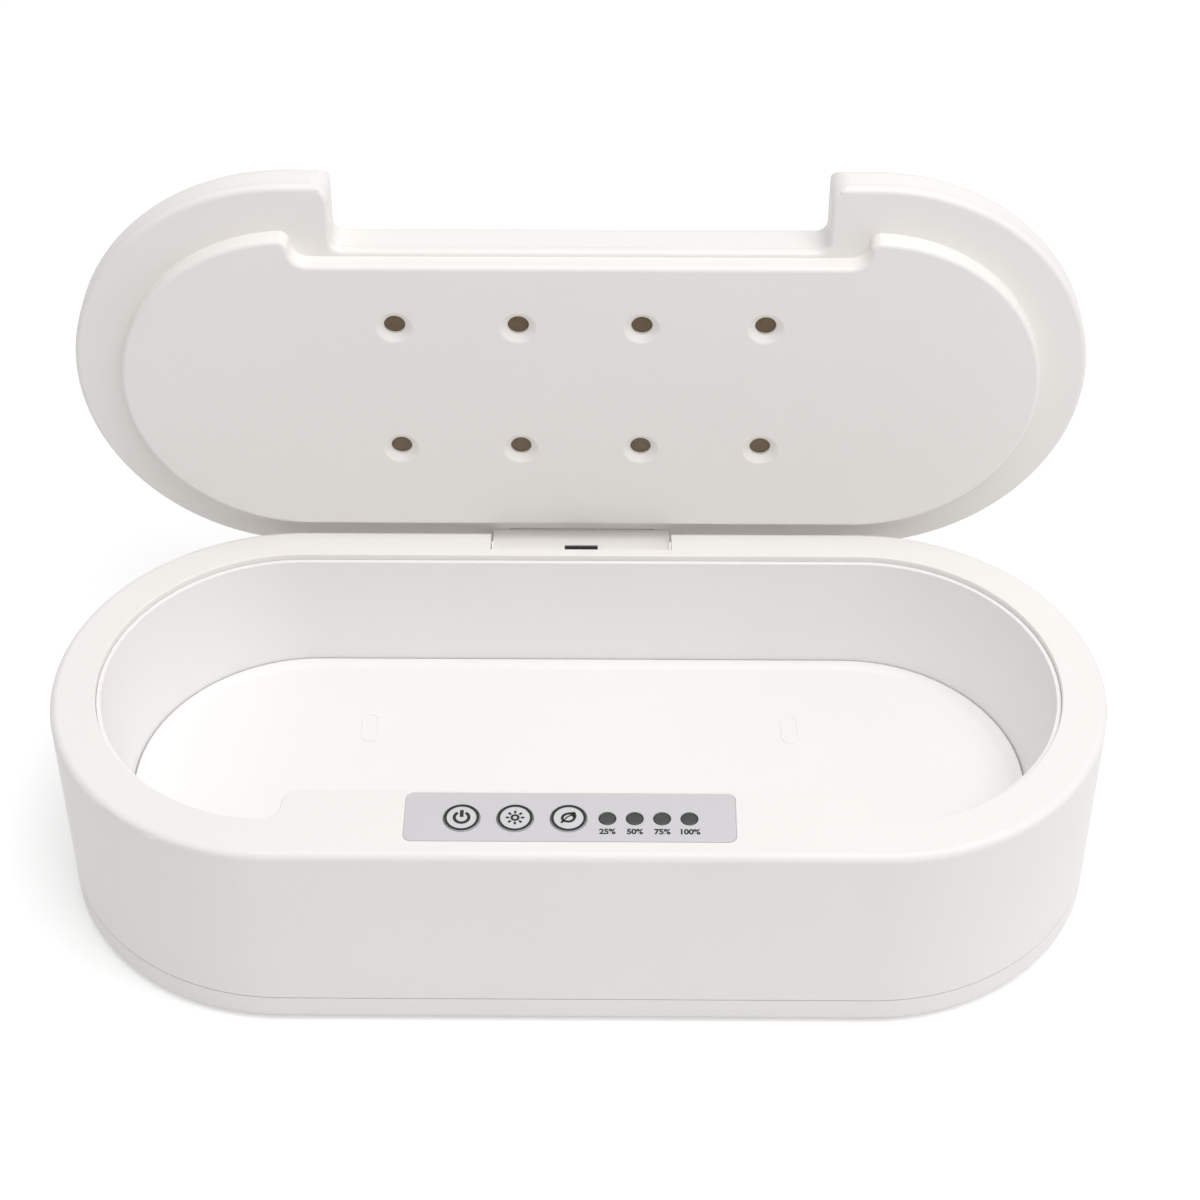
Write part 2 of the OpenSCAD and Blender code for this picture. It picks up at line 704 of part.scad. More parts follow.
module battery_cells() color("steelblue") for (side = [-1, 1])
    translate([cell_left, side * cell_pitch / 2, cell_z])
        rotate([0, 90, 0]) cylinder(r = cell_r, h = cell_length);

module cell_link() color(steel) translate([cell_left - 0.3, -cell_pitch / 2 - 3, cell_z - 3])
    cube([0.3, cell_pitch + 6, 6]);

module battery_holder() color(dark_grey) {
    long = cell_length + 2 * holder_gap + 2 * holder_wall;
    deep = cell_pitch + cell_dia + 2 * holder_gap + 2 * holder_wall;
    difference() {
        translate([cell_left - holder_gap - holder_wall, -deep / 2, cover_floor])
            cube([long, deep, holder_top - cover_floor]);
        translate([cell_left - holder_gap, holder_wall - deep / 2, cover_floor - 1])
            cube([long - 2 * holder_wall, deep - 2 * holder_wall, holder_top]);
    }
}

module battery_pad() color("dimgray") translate([cell_left + 5, -cell_pitch / 2 - 4, cell_z + cell_r])
    cube([cell_length - 10, cell_pitch + 8, tub_under - cell_z - cell_r]);

module battery_leads() color("firebrick") {
    plug_x = main_left + 2;
    plug_y = battery_plug_y;
    wire([[cell_right, cell_pitch / 2, lead_z], [cell_right + 2, cell_pitch / 2, lead_z],
        [cell_right + 2, plug_y + 1.2, lead_z], [plug_x, plug_y + 1.2, lead_z]], lead_r);
    wire([[cell_right, -cell_pitch / 2, lead_z], [cell_right + 4, -cell_pitch / 2, lead_z],
        [cell_right + 4, plug_y - 1.2, lead_z], [plug_x, plug_y - 1.2, lead_z]], lead_r);
}

module hinge_lead() color("dimgray") {
    plug_x = hinge_plug_x;
    plug_y = main_back - 3.5;
    wire_z = main_top + 1.5;
    wire([[plug_x, plug_y, wire_z], [plug_x, loom_y, wire_z], [0, loom_y, wire_z], [0, loom_y, pocket_floor]],
        loom_r);
}

module hinge_pin() color(steel) pin_hole(pin_r, pin_length / 2);

module lid_sensor() color(board_green) translate([sensor_centre[0], sensor_centre[1], rim_under])
    rotate(sensor_angle) {
        translate([-2.5, -4.5, -1]) cube([5, 9, 1]);
        translate([-1.5, -2, -2.2]) cube([3, 4, 1.3]);
    }

module tub_screws() color(steel) for (p = tub_tab_points) translate([p[0], p[1], tub_tab_top - tub_tab_t])
    mirror([0, 0, 1]) screw(small_screw_r, tub_screw_l, 2.3, 1.5);

module cover_screws() color(steel) for (p = cover_boss_points) translate([p[0], p[1], cover_bottom + 3])
    mirror([0, 0, 1]) screw(screw_r, cover_screw_l, 2.8, 1.8);

module rubber_feet() color(dark_grey) for (x = [-foot_x, foot_x], y = [-foot_y, foot_y]) translate([x, y, 0])
    cylinder(d = foot_dia, h = cover_bottom + 0.6);

// Outline of the lid, drawn in by an inset
module lid_outline(inset) {
    difference() {
        stadium(lid_l - inset, lid_w - inset);
        bay(notch_half + inset, notch_reach - inset, lid_w - inset, notch_round + inset, notch_flare - inset);
    }
}

// Outline of the raised plate, drawn in by an inset
module plate_outline(inset) {
    difference() {
        translate([0, open_y]) stadium(plate_l - inset, plate_w - inset);
        bay(plate_notch_half + inset, plate_notch_reach - inset, plate_front - inset,
            plate_notch_round + inset, plate_flare - inset);
    }
}

module lid_shell() color(warm_white) lid_open() difference() {
    union() {
        difference() {
            intersection() {
                translate([0, 0, shell_z]) round_block(lid_l, lid_w, lid_z + lid_height - shell_z, lid_round);
                translate([0, 0, shell_z - 1]) linear_extrude(lid_height + 2) lid_outline(0);
            }
            difference() {
                translate([0, 0, lid_z])
                    round_block(lid_l - lid_wall, lid_w - lid_wall,
                        lid_height - lid_top, lid_round - lid_wall);
                linear_extrude(lid_z + lid_height)
                    bay(notch_half + lid_wall, notch_reach - lid_wall, lid_w - lid_wall,
                        notch_round + lid_wall, notch_flare - lid_wall);
            }
        }
        for (x = arm_screw_xs, y = arm_screw_ys) translate([x, y, foot_plate_z + foot_plate_t])
            cylinder(r = 3, h = lid_inner_top - foot_plate_z - foot_plate_t + eps);
        for (p = panel_posts()) translate([p[0], p[1], panel_top])
            cylinder(r = 2.5, h = lid_inner_top - panel_top + eps);
    }
    for (x = arm_screw_xs, y = arm_screw_ys) translate([x, y, foot_plate_z])
        cylinder(r = small_screw_r + screw_fit, h = foot_plate_t + 4.5);
}

// Posts in the lid shell that stand on the panel's band
function panel_posts() = [[lid_l - 8, 0], [8 - lid_l, 0], for (side = [-1, 1]) each
    [[side * rear_tab_x, lid_w - 6], [side * (lid_l - lid_w + 13.6), 7 - lid_w]]];

module lid_panel() color(warm_white) lid_open() difference() {
    union() {
        intersection() {
            translate([0, 0, panel_top]) mirror([0, 0, 1])
                round_block(lid_l, lid_w, panel_thickness, lid_low_round);
            translate([0, 0, lid_z - 1]) linear_extrude(panel_thickness + 2) lid_outline(0);
        }
        translate([0, 0, panel_top - eps]) linear_extrude(1.5) difference() {
            lid_outline(lid_wall + 0.15);
            lid_outline(lid_wall + 1.15);
        }
        translate([0, 0, plate_z]) linear_extrude(plate_depth + panel_thickness) plate_outline(0);
        for (p = lid_post_points()) translate([p[0], p[1], plate_top - eps])
            cylinder(r = post_r, h = lid_board_z - plate_top + eps);
    }
    translate([0, 0, plate_top]) linear_extrude(lid_height) difference() {
        plate_outline(plate_side);
        for (p = lid_post_points()) translate(p) circle(r = post_r);
        for (p = uv_points) translate(p) difference() {
            circle(r = seat_r);
            circle(r = window_r + 0.1);
        }
    }
    translate([0, 0, plate_top + window_t]) linear_extrude(lid_height) difference() {
        plate_outline(plate_side);
        for (p = lid_post_points()) translate(p) circle(r = post_r);
    }
    translate([0, 0, lid_board_z]) linear_extrude(lid_height) plate_outline(plate_side);
    for (p = lid_post_points()) translate([p[0], p[1], plate_top + 0.5])
        cylinder(r = small_screw_r + screw_fit, h = lid_height);
    for (p = uv_points) {
        translate([p[0], p[1], plate_z - 1]) cylinder(r = uv_bore / 2, h = panel_thickness + 2);
        translate([p[0], p[1], plate_z - eps])
            cylinder(r1 = uv_mouth / 2, r2 = uv_bore / 2, h = uv_sink + eps);
    }
    translate([-tongue_half - 0.3, tongue_front - 0.3, lid_z - 1])
        cube([2 * tongue_half + 0.6, arm_top_back - tongue_front + 0.6, 5]);
}

function lid_post_points() = [for (x = [-lid_post_x, lid_post_x], y = uv_row_ys) [x, y]];

module uv_windows() color([0.3, 0.25, 0.2]) lid_open() for (p = uv_points)
    translate([p[0], p[1], plate_top]) cylinder(r = window_r, h = window_t);

module uv_leds() color("gold") lid_open() for (p = uv_points)
    translate([p[0] - led_size / 2, p[1] - led_size / 2, lid_board_z - led_h])
        cube([led_size, led_size, led_h]);

module lid_boards() color(board_green) lid_open() difference() {
    for (y = uv_row_ys) translate([-lid_board_length / 2, y - lid_board_width / 2, lid_board_z])
        cube([lid_board_length, lid_board_width, board_thickness]);
    for (p = lid_post_points()) translate([p[0], p[1], lid_board_z - 1])
        cylinder(r = small_screw_r + 0.1, h = board_thickness + 2);
}

module lid_board_screws() color(steel) lid_open() for (p = lid_post_points())
    translate([p[0], p[1], lid_board_z + board_thickness])
        screw(small_screw_r, lid_board_screw_l, 2, 1.3);

module arm_screws() color(steel) lid_open() for (x = arm_screw_xs, y = arm_screw_ys)
    translate([x, y, foot_plate_z + 1.5]) mirror([0, 0, 1]) screw(small_screw_r, arm_screw_l, 2.1, 1.4);

module lid_magnet() color(steel) lid_open()
    translate([magnet_centre[0], magnet_centre[1], panel_top]) cylinder(r = 3.5, h = 2);

module lid_lead() color("dimgray") lid_open() {
    wire_top = foot_plate_z + foot_plate_t + 0.1 + loom_r;
    board_y = max(uv_row_ys) + 2;
    wire([[0, loom_y, pin_z - 2.3], [0, loom_y, wire_top], [0, board_y, wire_top],
        [0, board_y, lid_board_z + board_thickness]], loom_r);
}

// Space for the grommet in the hinge block's front, drawn in by a margin
module grommet_slot(margin) {
    front = pin_y - barrel_r - 0.1;
    translate([margin - slot_width / 2, front, slot_low])
        cube([slot_width - 2 * margin, slot_back - margin - front, slot_high - margin - slot_low]);
}

module lead_grommet() color(dark_grey) lid_open() difference() {
    intersection() {
        grommet_slot(0.05);
        pin_hole(barrel_r - 0.3, slot_width);
    }
    translate([0, loom_y, slot_low - 1]) cylinder(r = loom_r + screw_fit, h = slot_high - slot_low + 2);
}

module hinge_arm() color(warm_white) lid_open() difference() {
    union() {
        intersection() {
            pin_hole(barrel_r, arm_half);
            translate([-arm_half, pin_y - 2 * barrel_r, pin_z - 2 * barrel_r])
                cube([2 * arm_half, 2 * barrel_r + arm_back - pin_y, 4 * barrel_r]);
        }
        translate([-arm_half, pin_y - barrel_r, pin_z])
            cube([2 * arm_half, arm_back - pin_y + barrel_r, lid_z - 0.1 - pin_z]);
        translate([-tongue_half, tongue_front, pin_z])
            cube([2 * tongue_half, arm_top_back - tongue_front, foot_plate_z + foot_plate_t - pin_z]);
        translate([-tongue_half, foot_plate_front, foot_plate_z])
            cube([2 * tongue_half, tongue_front - foot_plate_front + eps, foot_plate_t]);
    }
    pin_hole(pin_r + pin_clear, arm_half + 1);
    grommet_slot(0);
    translate([-loom_r - 0.15, loom_y - loom_r - 0.15, pin_z])
        cube([2 * loom_r + 0.3, 2 * loom_r + 0.3, foot_plate_z + foot_plate_t + 1 - pin_z]);
    for (x = arm_screw_xs, y = arm_screw_ys) {
        translate([x, y, foot_plate_z - 1]) cylinder(r = small_screw_r + 0.1, h = foot_plate_t + 2);
        translate([x, y, foot_plate_z - 1]) cylinder(r = 2.3, h = 2.5);
    }
}

base_shell();
bottom_cover();
cavity_tub();
floor_tray();
control_label();
power_key();
uv_key();
eco_key();
indicator_lenses();
control_board();
key_switches();
indicator_leds();
control_screws();
control_ribbon();
main_board();
usb_socket();
board_screws();
battery_cells();
cell_link();
battery_holder();
battery_pad();
battery_leads();
hinge_lead();
hinge_pin();
lid_sensor();
tub_screws();
cover_screws();
rubber_feet();
lid_shell();
lid_panel();
uv_windows();
uv_leds();
lid_boards();
lid_board_screws();
arm_screws();
lid_magnet();
lid_lead();
lead_grommet();
hinge_arm();
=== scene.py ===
"""Looks of a tabletop UV sanitizer box with its lid standing open.

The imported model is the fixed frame. Visible shells are welded copies of its
nodes with moulded edge radii; the floor tray, keys, indicators, windows,
feet, printed signs and the stage are made here.
"""

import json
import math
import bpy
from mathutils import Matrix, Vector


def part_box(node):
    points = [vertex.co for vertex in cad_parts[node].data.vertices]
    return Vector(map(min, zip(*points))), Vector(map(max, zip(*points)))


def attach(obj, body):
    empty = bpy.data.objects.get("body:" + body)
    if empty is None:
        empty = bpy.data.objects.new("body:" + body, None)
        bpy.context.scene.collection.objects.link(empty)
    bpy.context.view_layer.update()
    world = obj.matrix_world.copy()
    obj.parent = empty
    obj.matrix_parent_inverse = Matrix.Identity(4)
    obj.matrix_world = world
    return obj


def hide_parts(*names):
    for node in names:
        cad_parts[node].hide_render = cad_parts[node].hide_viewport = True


bl_info = {
    "name": "UV sanitizer box looks",
    "version": (1, 0, 0),
    "blender": (4, 5, 0),
    "location": "View3D > Sidebar > UV box",
    "description": "Builds the moulded shells, controls, lid lights and stage of a UV sanitizer box",
    "category": "Object",
}

import bmesh
import bpy
from bpy.props import FloatProperty, FloatVectorProperty, IntProperty, PointerProperty
from mathutils import Matrix, Vector

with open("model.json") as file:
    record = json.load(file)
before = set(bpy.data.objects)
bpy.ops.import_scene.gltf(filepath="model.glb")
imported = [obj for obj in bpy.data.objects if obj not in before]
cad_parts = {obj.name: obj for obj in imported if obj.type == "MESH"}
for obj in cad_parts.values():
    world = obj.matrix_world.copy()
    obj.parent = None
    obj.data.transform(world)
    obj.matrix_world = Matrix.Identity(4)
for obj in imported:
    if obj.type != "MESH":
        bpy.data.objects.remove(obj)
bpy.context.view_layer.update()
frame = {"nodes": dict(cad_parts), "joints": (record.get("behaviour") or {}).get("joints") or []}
NODES = frame["nodes"]

MM = 0.001
# Distance within which a node's loose corners are one corner
WELD = 0.002 * MM
# How far an edge may lie from the plane that it is looked up by
CLOSE = 0.02 * MM
NEAR = 0.05 * MM
# Least turn of an edge that counts as sharp, and greatest turn of a face that counts as flat
SHARP_TURN = math.radians(35)
FLAT_TURN = math.radians(0.25)

SHELL_LOW, SHELL_HIGH = (Vector(corner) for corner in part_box("base_shell"))
TRAY_LOW, TRAY_HIGH = (Vector(corner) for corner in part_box("floor_tray"))
LABEL_LOW, LABEL_HIGH = (Vector(corner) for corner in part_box("control_label"))
PANEL_LOW, PANEL_HIGH = (Vector(corner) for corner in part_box("lid_panel"))
COVER_LOW, COVER_HIGH = (Vector(corner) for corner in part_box("lid_shell"))
LENS_LOW, LENS_HIGH = (Vector(corner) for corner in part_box("indicator_lenses"))
WINDOW_LOW, WINDOW_HIGH = (Vector(corner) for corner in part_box("uv_windows"))
FEET_LOW, FEET_HIGH = (Vector(corner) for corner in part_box("rubber_feet"))
LIP_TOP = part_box("cavity_tub")[1][2]
HINGE = next(joint for joint in frame["joints"] if joint["name"] == "lid_hinge")
PIN = Vector(HINGE["pos_m"])


def linear(hex_code):
    """Scene-linear RGB of an sRGB hex colour such as F4F1EE."""
    channels = [int(hex_code[i:i + 2], 16) / 255 for i in (0, 2, 4)]
    return tuple(c / 12.92 if c <= 0.04045 else ((c + 0.055) / 1.055) ** 2.4 for c in channels)


def length(name, millimetres, text):
    """A length property whose default is given in millimetres."""
    return FloatProperty(name=name, description=text, default=millimetres * MM, min=0, precision=5,
                         unit="LENGTH")


def colour(name, hex_code, text):
    """A colour property whose default is an sRGB hex value."""
    return FloatVectorProperty(name=name, description=text, default=linear(hex_code), size=3, min=0, max=1,
                               subtype="COLOR")


class UvBoxCasing(bpy.types.PropertyGroup):
    """Edge radii, floor and feet of the base."""

    rim_edge: length("Rim edge", 0.4, "Radius of the rim's inner edge")
    fine_edge: length("Fine edge", 0.25, "Radius of every other moulded edge")
    label_edge: length("Label edge", 0.25, "Radius at the label's recess")
    tray_thickness: length("Floor thickness", 1.2, "Thickness of the cavity floor")
    tray_band: length("Floor band", 4.2, "Width of the raised band round the floor")
    tray_spread: length("Floor spread", 0.27, "How far the floor closes its gap to the wall")
    tray_rise: length("Floor band rise", 0.9, "Height of the band where it meets the wall")
    pad_length: length("Pad length", 10.5, "Length of an oval floor pad")
    pad_width: length("Pad width", 4.5, "Width of an oval floor pad")
    pad_wall: length("Pad rib", 0.55, "Width of the rib that outlines a floor pad")
    pad_rise: length("Pad rise", 0.22, "Height of a floor pad's rib")
    pad_edge: length("Pad edge", 0.12, "Radius of a floor pad's rib")
    pad_reach: length("Pad place", 58.7, "Distance of a pad from the middle")
    pad_depth: length("Pad depth", 21.0, "Place of the pads towards the back")
    foot_radius: length("Foot radius", 6.0, "Radius of a rubber foot")
    foot_edge: length("Foot edge", 0.4, "Rounding of a foot's lower edge")


class UvBoxControls(bpy.types.PropertyGroup):
    """Sizes of the keys, indicators, label and printed signs."""

    film_edge: length("Label edge", 0.12, "Radius of the label's edge")
    ring_width: length("Ring width", 0.7, "Width of the ring printed on a key")
    key_crown: length("Key crown", 0.08, "How much a key's face is crowned")
    key_edge: length("Key edge", 0.18, "Rounding of a key's edge")
    key_flange: length("Key flange", 1.05, "How far a key's hidden flange stands out")
    key_flange_depth: length("Key flange depth", 1.3, "Thickness of a key's flange")
    key_seat: length("Key seat", 2.5, "Depth of a key's flange below the rim")
    key_stem: length("Key stem", 1.5, "Radius of the stem that presses the switch")
    stroke: length("Stroke", 0.82, "Line width of the boldest sign")
    sign_size: length("Sign size", 4.5, "Width of a printed sign")
    print_height: length("Print height", 0.02, "Thickness of the printed ink")
    digit_height: length("Digit height", 1.72, "Height of the numbers under the indicators")
    digit_swell: length("Digit swell", 0.1, "How much the numbers are fattened")
    digit_drop: length("Digit drop", 4.55, "Distance from the indicators down to the numbers")
    lens_dome: length("Lens dome", 0.12, "Crown of an indicator lens")
    lens_border: length("Lens border", 0.14, "Width of the dark line printed round an indicator")
    lens_gap: length("Lens gap", 0.05, "Distance from an indicator to the line round it")
    lens_edge: length("Lens edge", 0.1, "Depth of an indicator's side below its crown")
    lens_flange: length("Lens flange", 0.65, "How far an indicator's hidden flange stands out")
    lens_flange_depth: length("Lens flange depth", 1.4, "Thickness of an indicator's flange")
    lens_seat: length("Lens seat", 2.4, "Depth of an indicator's flange below the rim")
    lenses: IntProperty(name="Indicators", description="Number of indicator lenses", default=4, min=1)


class UvBoxLid(bpy.types.PropertyGroup):
    """Edge radii and windows of the lid."""

    plate_edge: length("Plate edge", 1.3, "Radius of the raised plate's edge")
    outer_edge: length("Notch edge", 1.4, "Radius where the notch meets the lid's top")
    band_edge: length("Band edge", 1.2, "Radius where the notch meets the lid's band")
    plate_depth: length("Plate depth", 5.0, "Height of the raised plate over the band")
    notch_half: length("Notch half", 70.3, "Half width of the notch with its rounded corners")
    notch_height: length("Notch height", 99.5, "Height of the notch's floor over the lid's lower edge")
    sink_edge: length("Countersink edge", 0.3, "Radius of a countersink's mouth")
    sink_reach: length("Countersink reach", 5.5, "Radius round a window that its countersink keeps within")
    bore: length("Bore", 5.7, "Diameter of the bore in front of a window")
    window_seat: length("Window seat", 0.75, "How far a window reaches past its bore")
    window_edge: length("Window edge", 0.12, "Rounding of a window's edges")
    columns: IntProperty(name="Columns", description="Columns of lights", default=4, min=1)
    rows: IntProperty(name="Rows", description="Rows of lights", default=2, min=1)


class UvBoxFinish(bpy.types.PropertyGroup):
    """Colours of the finishes."""

    shell: colour("Shell", "F4F1EE", "Warm white moulded casing")
    tub: colour("Tub", "F4F2F1", "Warm white moulded cavity")
    label: colour("Label", "D1CFD2", "Grey printed film")
    ink: colour("Ink", "0C0C0E", "Printed signs")
    lens: colour("Lens", "363737", "Unlit indicator lens")
    window: colour("Window", "6B573B", "Window in front of a light")
    rubber: colour("Rubber", "5A5A5C", "Feet")
    board: colour("Board", "1F6A45", "Circuit boards")
    metal: colour("Metal", "C9CACC", "Plated steel")


class UvBoxStage(bpy.types.PropertyGroup):
    """Camera and light."""

    camera_place: FloatVectorProperty(name="Place", description="Where the camera stands", precision=5,
                                      default=(0.00932, -0.53136, 0.57279), subtype="TRANSLATION")
    camera_lens: FloatProperty(name="Lens", description="Focal length in millimetres", default=83.1, min=1)
    camera_pitch: FloatProperty(name="Pitch", description="Angle that the camera looks down",
                                default=math.radians(42.02), subtype="ANGLE")
    camera_yaw: FloatProperty(name="Yaw", description="Angle that the camera turns to the left",
                              default=math.radians(0.39), subtype="ANGLE")
    ambient: FloatProperty(name="Ambient", description="Strength of the even light all round",
                           default=0.455, min=0)
    key_power: FloatProperty(name="Key", description="Power of the panel over the front", default=6.6, min=0)
    top_power: FloatProperty(name="Top", description="Power of the overhead panel", default=3.2, min=0)
    side_power: FloatProperty(name="Side", description="Power of the panel on the right", default=1.55, min=0)
    floor_glow: FloatProperty(name="Floor glow", description="Light the floor shows to the camera alone",
                              default=0.3, min=0)


def settings(group):
    """The named property group of the scene."""
    return getattr(bpy.context.scene, "uv_box_" + group)


# Nodes and materials


def add_node(tree, kind, links=None, **values):
    """Adds a shader or geometry node. links maps an input to a socket or a value."""
    node = tree.nodes.new(kind)
    for name, value in values.items():
        setattr(node, name, value)
    for name, value in (links or {}).items():
        if isinstance(value, bpy.types.NodeSocket):
            tree.links.new(value, node.inputs[name])
        else:
            node.inputs[name].default_value = value
    return node


def new_material(name):
    """An empty material and its node tree."""
    material = bpy.data.materials.new(name)
    material.use_nodes = True
    material.node_tree.nodes.clear()
    return material, material.node_tree


def rgba(rgb):
    """An RGB colour with full alpha."""
    return (*rgb, 1)


def scaled(rgb, factor):
    """An RGB colour made lighter or darker, kept in range."""
    return tuple(min(c * factor, 1) for c in rgb)


def finish_surface(tree, base, roughness, relief=None, **fixed):
    """Ends a material with a Principled shader and its output. relief is (pattern, depth_mm, strength)."""
    links = {"Base Color": base, "Roughness": roughness}
    if relief:
        patches, depth_mm, strength = relief
        bump = add_node(tree, "ShaderNodeBump",
                        {"Height": patches, "Distance": depth_mm * MM, "Strength": strength})
        links["Normal"] = bump.outputs[0]
    for name, value in fixed.items():
        links[name.replace("_", " ")] = value
    shader = add_node(tree, "ShaderNodeBsdfPrincipled", links)
    add_node(tree, "ShaderNodeOutputMaterial", {"Surface": shader.outputs[0]})


def pattern(tree, size_mm, detail=2.0):
    """Patches about size_mm across, from 0 to 1, on Object coordinates."""
    space = add_node(tree, "ShaderNodeTexCoord").outputs["Object"]
    links = {"Vector": space, "Scale": 1000 / size_mm, "Detail": detail}
    return add_node(tree, "ShaderNodeTexNoise", links).outputs[0]


def mottled(tree, rgb, dark, light, size_mm, detail=2.0):
    """A colour that goes between two shades over a pattern, and the pattern."""
    patches = pattern(tree, size_mm, detail)
    shades = {0: patches, 6: rgba(scaled(rgb, dark)), 7: rgba(scaled(rgb, light))}
    return add_node(tree, "ShaderNodeMix", shades, data_type="RGBA").outputs[2], patches


def varied(tree, low, high, size_mm, detail=2.0):
    """A value that drifts between low and high over patches about size_mm across."""
    limits = {"Value": pattern(tree, size_mm, detail), "To Min": low, "To Max": high}
    return add_node(tree, "ShaderNodeMapRange", limits).outputs[0]


def moulded_abs(name, rgb, grain_mm, grain_depth_mm, roughness):
    """ABS from a spark-eroded mould: fine even grain, soft sheen, faint flow marks."""
    material, tree = new_material(name)
    base, _flow_marks = mottled(tree, rgb, 0.985, 1.01, 38.0, 1.0)
    sheen = varied(tree, roughness - 0.04, roughness + 0.04, 11.0)
    grain = pattern(tree, grain_mm, 3.0)
    finish_surface(tree, base, sheen, (grain, grain_depth_mm, 0.6), IOR=1.53)
    return material


def printed_film(name, rgb):
    """Polyester film printed silver grey on its back: smooth, with a faint metallic fleck."""
    material, tree = new_material(name)
    base, _fleck = mottled(tree, rgb, 0.93, 1.07, 0.35)
    cloud = varied(tree, 0.34, 0.42, 9.0, 1.0)
    finish_surface(tree, base, cloud, Metallic=0.15, IOR=1.57)
    return material


def screen_ink(name, rgb):
    """Matte screen-printed ink, a little uneven where the mesh left it thinner."""
    material, tree = new_material(name)
    base, _mesh_marks = mottled(tree, rgb, 0.8, 1.3, 0.25)
    finish_surface(tree, base, roughness=0.55)
    return material


def smoked_polycarbonate(name, rgb):
    """Tinted polycarbonate light pipe: glossy, with a matte core that scatters."""
    material, tree = new_material(name)
    base, _core = mottled(tree, rgb, 0.85, 1.15, 0.8)
    finish_surface(tree, base, roughness=0.32, IOR=1.58)
    return material


def fused_quartz(name, rgb):
    """Polished fused quartz over the amber light package: glossy, with a brown depth."""
    material, tree = new_material(name)
    base, _depth = mottled(tree, rgb, 0.8, 1.15, 2.2, 1.0)
    finish_surface(tree, base, roughness=0.12, IOR=1.46, Coat_Weight=0.5)
    return material


def moulded_rubber(name, rgb):
    """Compression-moulded rubber: matte, with a fine pitted skin."""
    material, tree = new_material(name)
    base, pits = mottled(tree, rgb, 0.8, 1.15, 0.5, 3.0)
    finish_surface(tree, base, 0.8, (pits, 0.03, 0.8), IOR=1.52)
    return material


def zinc_plated_steel(name, rgb):
    """Zinc-plated steel: bright metal with fine turning lines and dull patches."""
    material, tree = new_material(name)
    dull = varied(tree, 0.22, 0.4, 3.0)
    turning_lines = pattern(tree, 0.2)
    finish_surface(tree, rgba(rgb), dull, (turning_lines, 0.01, 0.5), Metallic=1.0)
    return material


def solder_masked_board(name, rgb, track_mm=9.0):
    """Glass-epoxy board under solder mask: satin green with lighter copper tracks."""
    material, tree = new_material(name)
    space = add_node(tree, "ShaderNodeTexCoord").outputs["Object"]
    tracks = add_node(tree, "ShaderNodeTexBrick",
                      {"Vector": space, "Scale": 1000 / track_mm, "Mortar Size": 0.03,
                       "Color1": rgba(rgb), "Color2": rgba(scaled(rgb, 0.9)),
                       "Mortar": rgba(scaled(rgb, 1.7))})
    finish_surface(tree, tracks.outputs[0], roughness=0.35, IOR=1.5)
    return material


def plain_polymer(name, rgb, roughness, grain_mm):
    """Extruded or cut polymer, such as foam, film or a wire's jacket, with its own grain."""
    material, tree = new_material(name)
    base, grain = mottled(tree, rgb, 0.85, 1.12, grain_mm)
    finish_surface(tree, base, roughness, (grain, 0.02, 0.6))
    return material


FINISHES = {}


def make_finishes():
    """Fills FINISHES with one material for each finish of the box."""
    colours = settings("finish")
    FINISHES["shell"] = moulded_abs("Moulded ABS casing", colours.shell, grain_mm=0.45, grain_depth_mm=0.02,
                                    roughness=0.46)
    FINISHES["tub"] = moulded_abs("Moulded ABS tub", colours.tub, grain_mm=0.45, grain_depth_mm=0.015,
                                  roughness=0.42)
    FINISHES["label"] = printed_film("Printed polyester film", colours.label)
    FINISHES["key"] = printed_film("Printed film key", scaled(colours.label, 1.04))
    FINISHES["ink"] = screen_ink("Screen-printed ink", colours.ink)
    FINISHES["lens"] = smoked_polycarbonate("Smoked polycarbonate", colours.lens)
    FINISHES["window"] = fused_quartz("Fused quartz", colours.window)
    FINISHES["rubber"] = moulded_rubber("Moulded rubber", colours.rubber)
    # Painted shade: the lead grommet is near-black so that the slot in the hinge block shows as a dark
    # opening, standing in for the shade inside it
    FINISHES["painted_slot_shade"] = moulded_rubber("Black rubber for painted slot shade", linear("1A1A1B"))
    FINISHES["metal"] = zinc_plated_steel("Zinc-plated steel", colours.metal)
    FINISHES["board"] = solder_masked_board("Solder-masked board", colours.board)
    FINISHES["black"] = plain_polymer("Black glass-filled nylon", linear("2A2A2C"), roughness=0.5,
                                      grain_mm=0.6)
    FINISHES["resin"] = plain_polymer("Phosphor resin", linear("E6D79A"), roughness=0.35, grain_mm=0.4)
    FINISHES["wrap"] = plain_polymer("Shrink-wrap PVC", linear("3F6E9E"), roughness=0.3, grain_mm=2.0)
    FINISHES["foam"] = plain_polymer("Cut EVA foam", linear("6A6A6C"), roughness=0.9, grain_mm=0.7)
    FINISHES["jacket"] = plain_polymer("Silicone wire jacket", linear("7A3A34"), roughness=0.5, grain_mm=0.8)
    FINISHES["ribbon"] = plain_polymer("Polyimide ribbon", linear("B98A4A"), roughness=0.35, grain_mm=1.0)


class UVBOX_OT_finishes(bpy.types.Operator):
    """Make the materials"""

    bl_idname = "uvbox.finishes"
    bl_label = "Finishes"

    def execute(self, context):
        make_finishes()
        return {"FINISHED"}


# Meshes


def object_from(bm, name, material, smooth=True):
    """Turns a bmesh into an object at the origin with one material."""
    mesh = bpy.data.meshes.new(name)
    bm.to_mesh(mesh)
    bm.free()
    mesh.materials.append(material)
    if smooth:
        mesh.shade_smooth()
    piece = bpy.data.objects.new(name, mesh)
    bpy.context.scene.collection.objects.link(piece)
    return piece


def even_normals(piece):
    """Makes the flat faces of a rounded piece shade flat."""
    piece.modifiers.new("Even normals", "WEIGHTED_NORMAL").keep_sharp = True


def set_piece(piece, body, slot, *nodes):
    """Says which body a piece rides on and the nodes that it stands for. slot is not used."""
    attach(piece, body)
    if nodes:
        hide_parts(*nodes)


